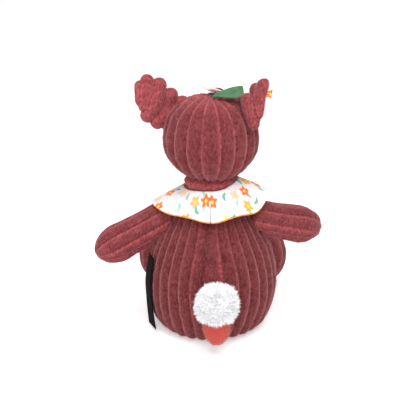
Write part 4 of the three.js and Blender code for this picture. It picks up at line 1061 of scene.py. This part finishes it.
def grow(name, ground, fibre, count, lean, seed, finish):
    """Plants copies of a fibre all over an object, each leaning its own way, as one plain mesh."""
    tree = bpy.data.node_groups.new(name, "GeometryNodeTree")
    tree.interface.new_socket("Ground", in_out="INPUT", socket_type="NodeSocketGeometry")
    density = tree.interface.new_socket("Density", in_out="INPUT", socket_type="NodeSocketFloat")
    tree.interface.new_socket("Pile", in_out="OUTPUT", socket_type="NodeSocketGeometry")
    given = add_node(tree, "NodeGroupInput")
    points = add_node(tree, "GeometryNodeDistributePointsOnFaces", {
        "Mesh": given["Ground"], "Density": given["Density"], "Seed": seed,
    })
    shape = add_node(tree, "GeometryNodeObjectInfo", {"Object": fibre, "As Instance": True})
    size = add_node(tree, "FunctionNodeRandomValue", {"Min_001": 0.7, "Max_001": 1.25, "Seed": seed + 1})
    tilt = add_node(tree, "FunctionNodeRandomValue", {
        "Min": (-lean, -lean, 0), "Max": (lean, lean, 2 * math.pi), "Seed": seed + 2,
    }, data_type="FLOAT_VECTOR")
    planted = add_node(tree, "GeometryNodeInstanceOnPoints", {
        "Points": points["Points"], "Instance": shape["Geometry"], "Rotation": points["Rotation"],
        "Scale": size["Value_001"],
    })
    tilted = {"Instances": planted, "Rotation": tilt["Value"]}
    turned = add_node(tree, "GeometryNodeRotateInstances", tilted)
    solid = add_node(tree, "GeometryNodeRealizeInstances", {"Geometry": turned})
    dyed = add_node(tree, "GeometryNodeSetMaterial", {"Geometry": solid, "Material": FINISH[finish]})
    add_node(tree, "NodeGroupOutput", {"Pile": dyed})

    obj = add_object(name, ground.data)
    growth = obj.modifiers.new("growth", "NODES")
    growth.node_group = tree
    growth[density.identifier] = count / sum(p.area for p in ground.data.polygons)
    mesh = made_plain(obj)
    points = np.array([v.co for v in mesh.vertices])
    points[:, 2] = np.maximum(points[:, 2], 0)
    mesh.vertices.foreach_set("co", points.ravel())
    obj.modifiers.clear()
    obj.data = mesh
    mesh.name = name
    bpy.data.node_groups.remove(tree)
    return obj


# Light, floor and camera


def add_stage():
    mesh = bpy.data.meshes.new("floor")
    mesh.from_pydata([(-6, -6, 0), (6, -6, 0), (6, 6, 0), (-6, 6, 0)], [], [(0, 1, 2, 3)])
    f = Finish("pale_floor")
    mesh.materials.append(f.done((0.94, 0.94, 0.95), 0.9, f.lumps(60, 1), 0.01, 0.05,
                                 Emission_Color=(1, 1, 1, 1), Emission_Strength=0.4))
    add_object("floor", mesh)

    world = bpy.data.worlds.new("studio")
    world.use_nodes = True
    background = world.node_tree.nodes["Background"].inputs
    background["Color"].default_value = (1, 1, 1, 1)
    background["Strength"].default_value = 0.5
    bpy.context.scene.world = world

    for name, at, size, power in [
        ("top_softbox", (0.1, -0.45, 1.3), 1.1, 20.0),
        ("front_softbox", (-0.3, -1.5, 0.6), 1.2, 9.0),
    ]:
        data = bpy.data.lights.new(name, "AREA")
        data.size, data.energy = size, power
        lamp = add_object(name, data)
        lamp.location = at
        lamp.rotation_euler = (Vector((0, 0, 0.1)) - Vector(at)).to_track_quat("-Z", "Y").to_euler()


def add_camera():
    data = bpy.data.cameras.new("camera")
    data.lens, data.sensor_width = 100, 36
    camera = add_object("camera", data)
    back = Vector((0, -math.cos(CAMERA_RISE), math.sin(CAMERA_RISE)))
    camera.location = Vector(CAMERA_TARGET) + CAMERA_AWAY * back
    camera.rotation_euler = (math.radians(90) - CAMERA_RISE, 0, 0)
    bpy.context.scene.camera = camera
    bpy.context.scene.view_settings.view_transform = "Standard"


# Put together


def settle(obj, slot, *nodes, body="torso", fill=None):
    """Hides the CAD nodes that a piece stands for and hangs it on the body that it moves with.
    The finish slot is not used.
    """
    if nodes:
        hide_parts(*nodes)
    if body:
        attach(obj, body)
    return obj


def add_nap(name, cover, count, seed, body):
    """The short pile that stands up from a cord cover."""
    return settle(grow(name, cover, nap, count, 0.9, seed, "burgundy_pile"), "burgundy_cord", body=body)


add_camera()
add_stage()
nap = strand(1.4, 0.09, 0.3, 1)

torso = settle(make_torso(), "burgundy_cord", "torso_left_back_panel", "torso_right_back_panel",
               "torso_belly_panel", "seat_panel", "torso_filling", "pellet_pouch", fill=0.85)
neck = settle(make_neck(), "burgundy_cord", "neck_band", "neck_filling", body="neck", fill=0.8)
head = settle(make_head(), "burgundy_cord", "head_left_panel", "head_right_panel", "head_filling",
              body="head", fill=0.9)
add_nap("torso_nap", torso, 26000, 200, "torso")
add_nap("neck_nap", neck, 2500, 210, "neck")
add_nap("head_nap", head, 14000, 220, "head")
for piece, node, slot in make_face():
    settle(piece, slot, *([node] if node else []), body="head", fill=0.8 if node == "muzzle" else None)

petals, knot = make_flower()
settle(petals, "pink_felt", "flower_petals", body="head")
settle(knot, "brown_thread", "flower_button", body="head")
leaf = settle(make_leaf(), "green_felt", "flower_leaf", body="head")

tip, core = make_tail()
settle(tip, "coral_velour", "tail_tip", body="tail", fill=0.7)
settle(core, "white_pile", "tail_pompom", body="tail", fill=0.6)
wool = strand(PILE_LENGTH, 0.32, 0.3, 4)
tuft = strand(PILE_LENGTH, 1.0, 0.4, 3)
velour = strand(1.8, 0.13, 0.3, 1)
settle(grow("pompom_wool", core, wool, 5000, 0.8, 230, "white_pile"), "white_pile", body="tail")
settle(grow("pompom_tufts", core, tuft, 1100, 0.8, 235, "white_pile"), "white_pile", body="tail")
settle(grow("tail_tip_nap", tip, velour, 3500, 0.8, 240, "coral_pile"), "coral_velour", body="tail")

label = settle(make_label(), "black_ribbon", "side_label", body="label")

for name, side in SIDES.items():
    seed = 300 + 40 * side
    cover = settle(make_ear(name), "burgundy_cord", f"{name}_ear_back", body=f"{name}_ear", fill=0.3)
    lining = settle(make_ear_lining(name), "printed_cotton", f"{name}_ear_lining", body=f"{name}_ear")
    add_nap(f"{name}_ear_nap", cover, 4000, seed, f"{name}_ear")

    top, under = make_collar(name)
    settle(under, "orange_lining", f"{name}_collar_lining")
    settle(top, "printed_cotton", f"{name}_collar")

    arm, along = make_arm(name)
    settle(arm, "burgundy_cord", f"{name}_arm_front_panel", f"{name}_arm_back_panel", f"{name}_arm_filling",
           body=None, fill=0.8)
    shoulder = PIVOTS[f"{name}_arm"]
    for piece in (arm, add_nap(f"{name}_arm_nap", arm, 6500, seed + 10, None)):
        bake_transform(piece)

    leg = settle(make_leg(name), "burgundy_cord", f"{name}_leg_inner_panel", f"{name}_leg_outer_panel",
                 f"{name}_leg_filling", body=f"{name}_leg", fill=0.8)
    add_nap(f"{name}_leg_nap", leg, 7000, seed + 20, f"{name}_leg")
    settle(make_sole(name), "cream_plush", f"{name}_sole", body=f"{name}_leg", fill=0.4)

for fibre in (nap, wool, tuft, velour):
    bpy.data.objects.remove(fibre)

for node, finish in {
    "left_eye_washer": "clear_plastic", "right_eye_washer": "clear_plastic", "flower_base": "green_felt",
}.items():
    materials = frame["nodes"][node].data.materials
    materials.clear()
    materials.append(FINISH[finish])
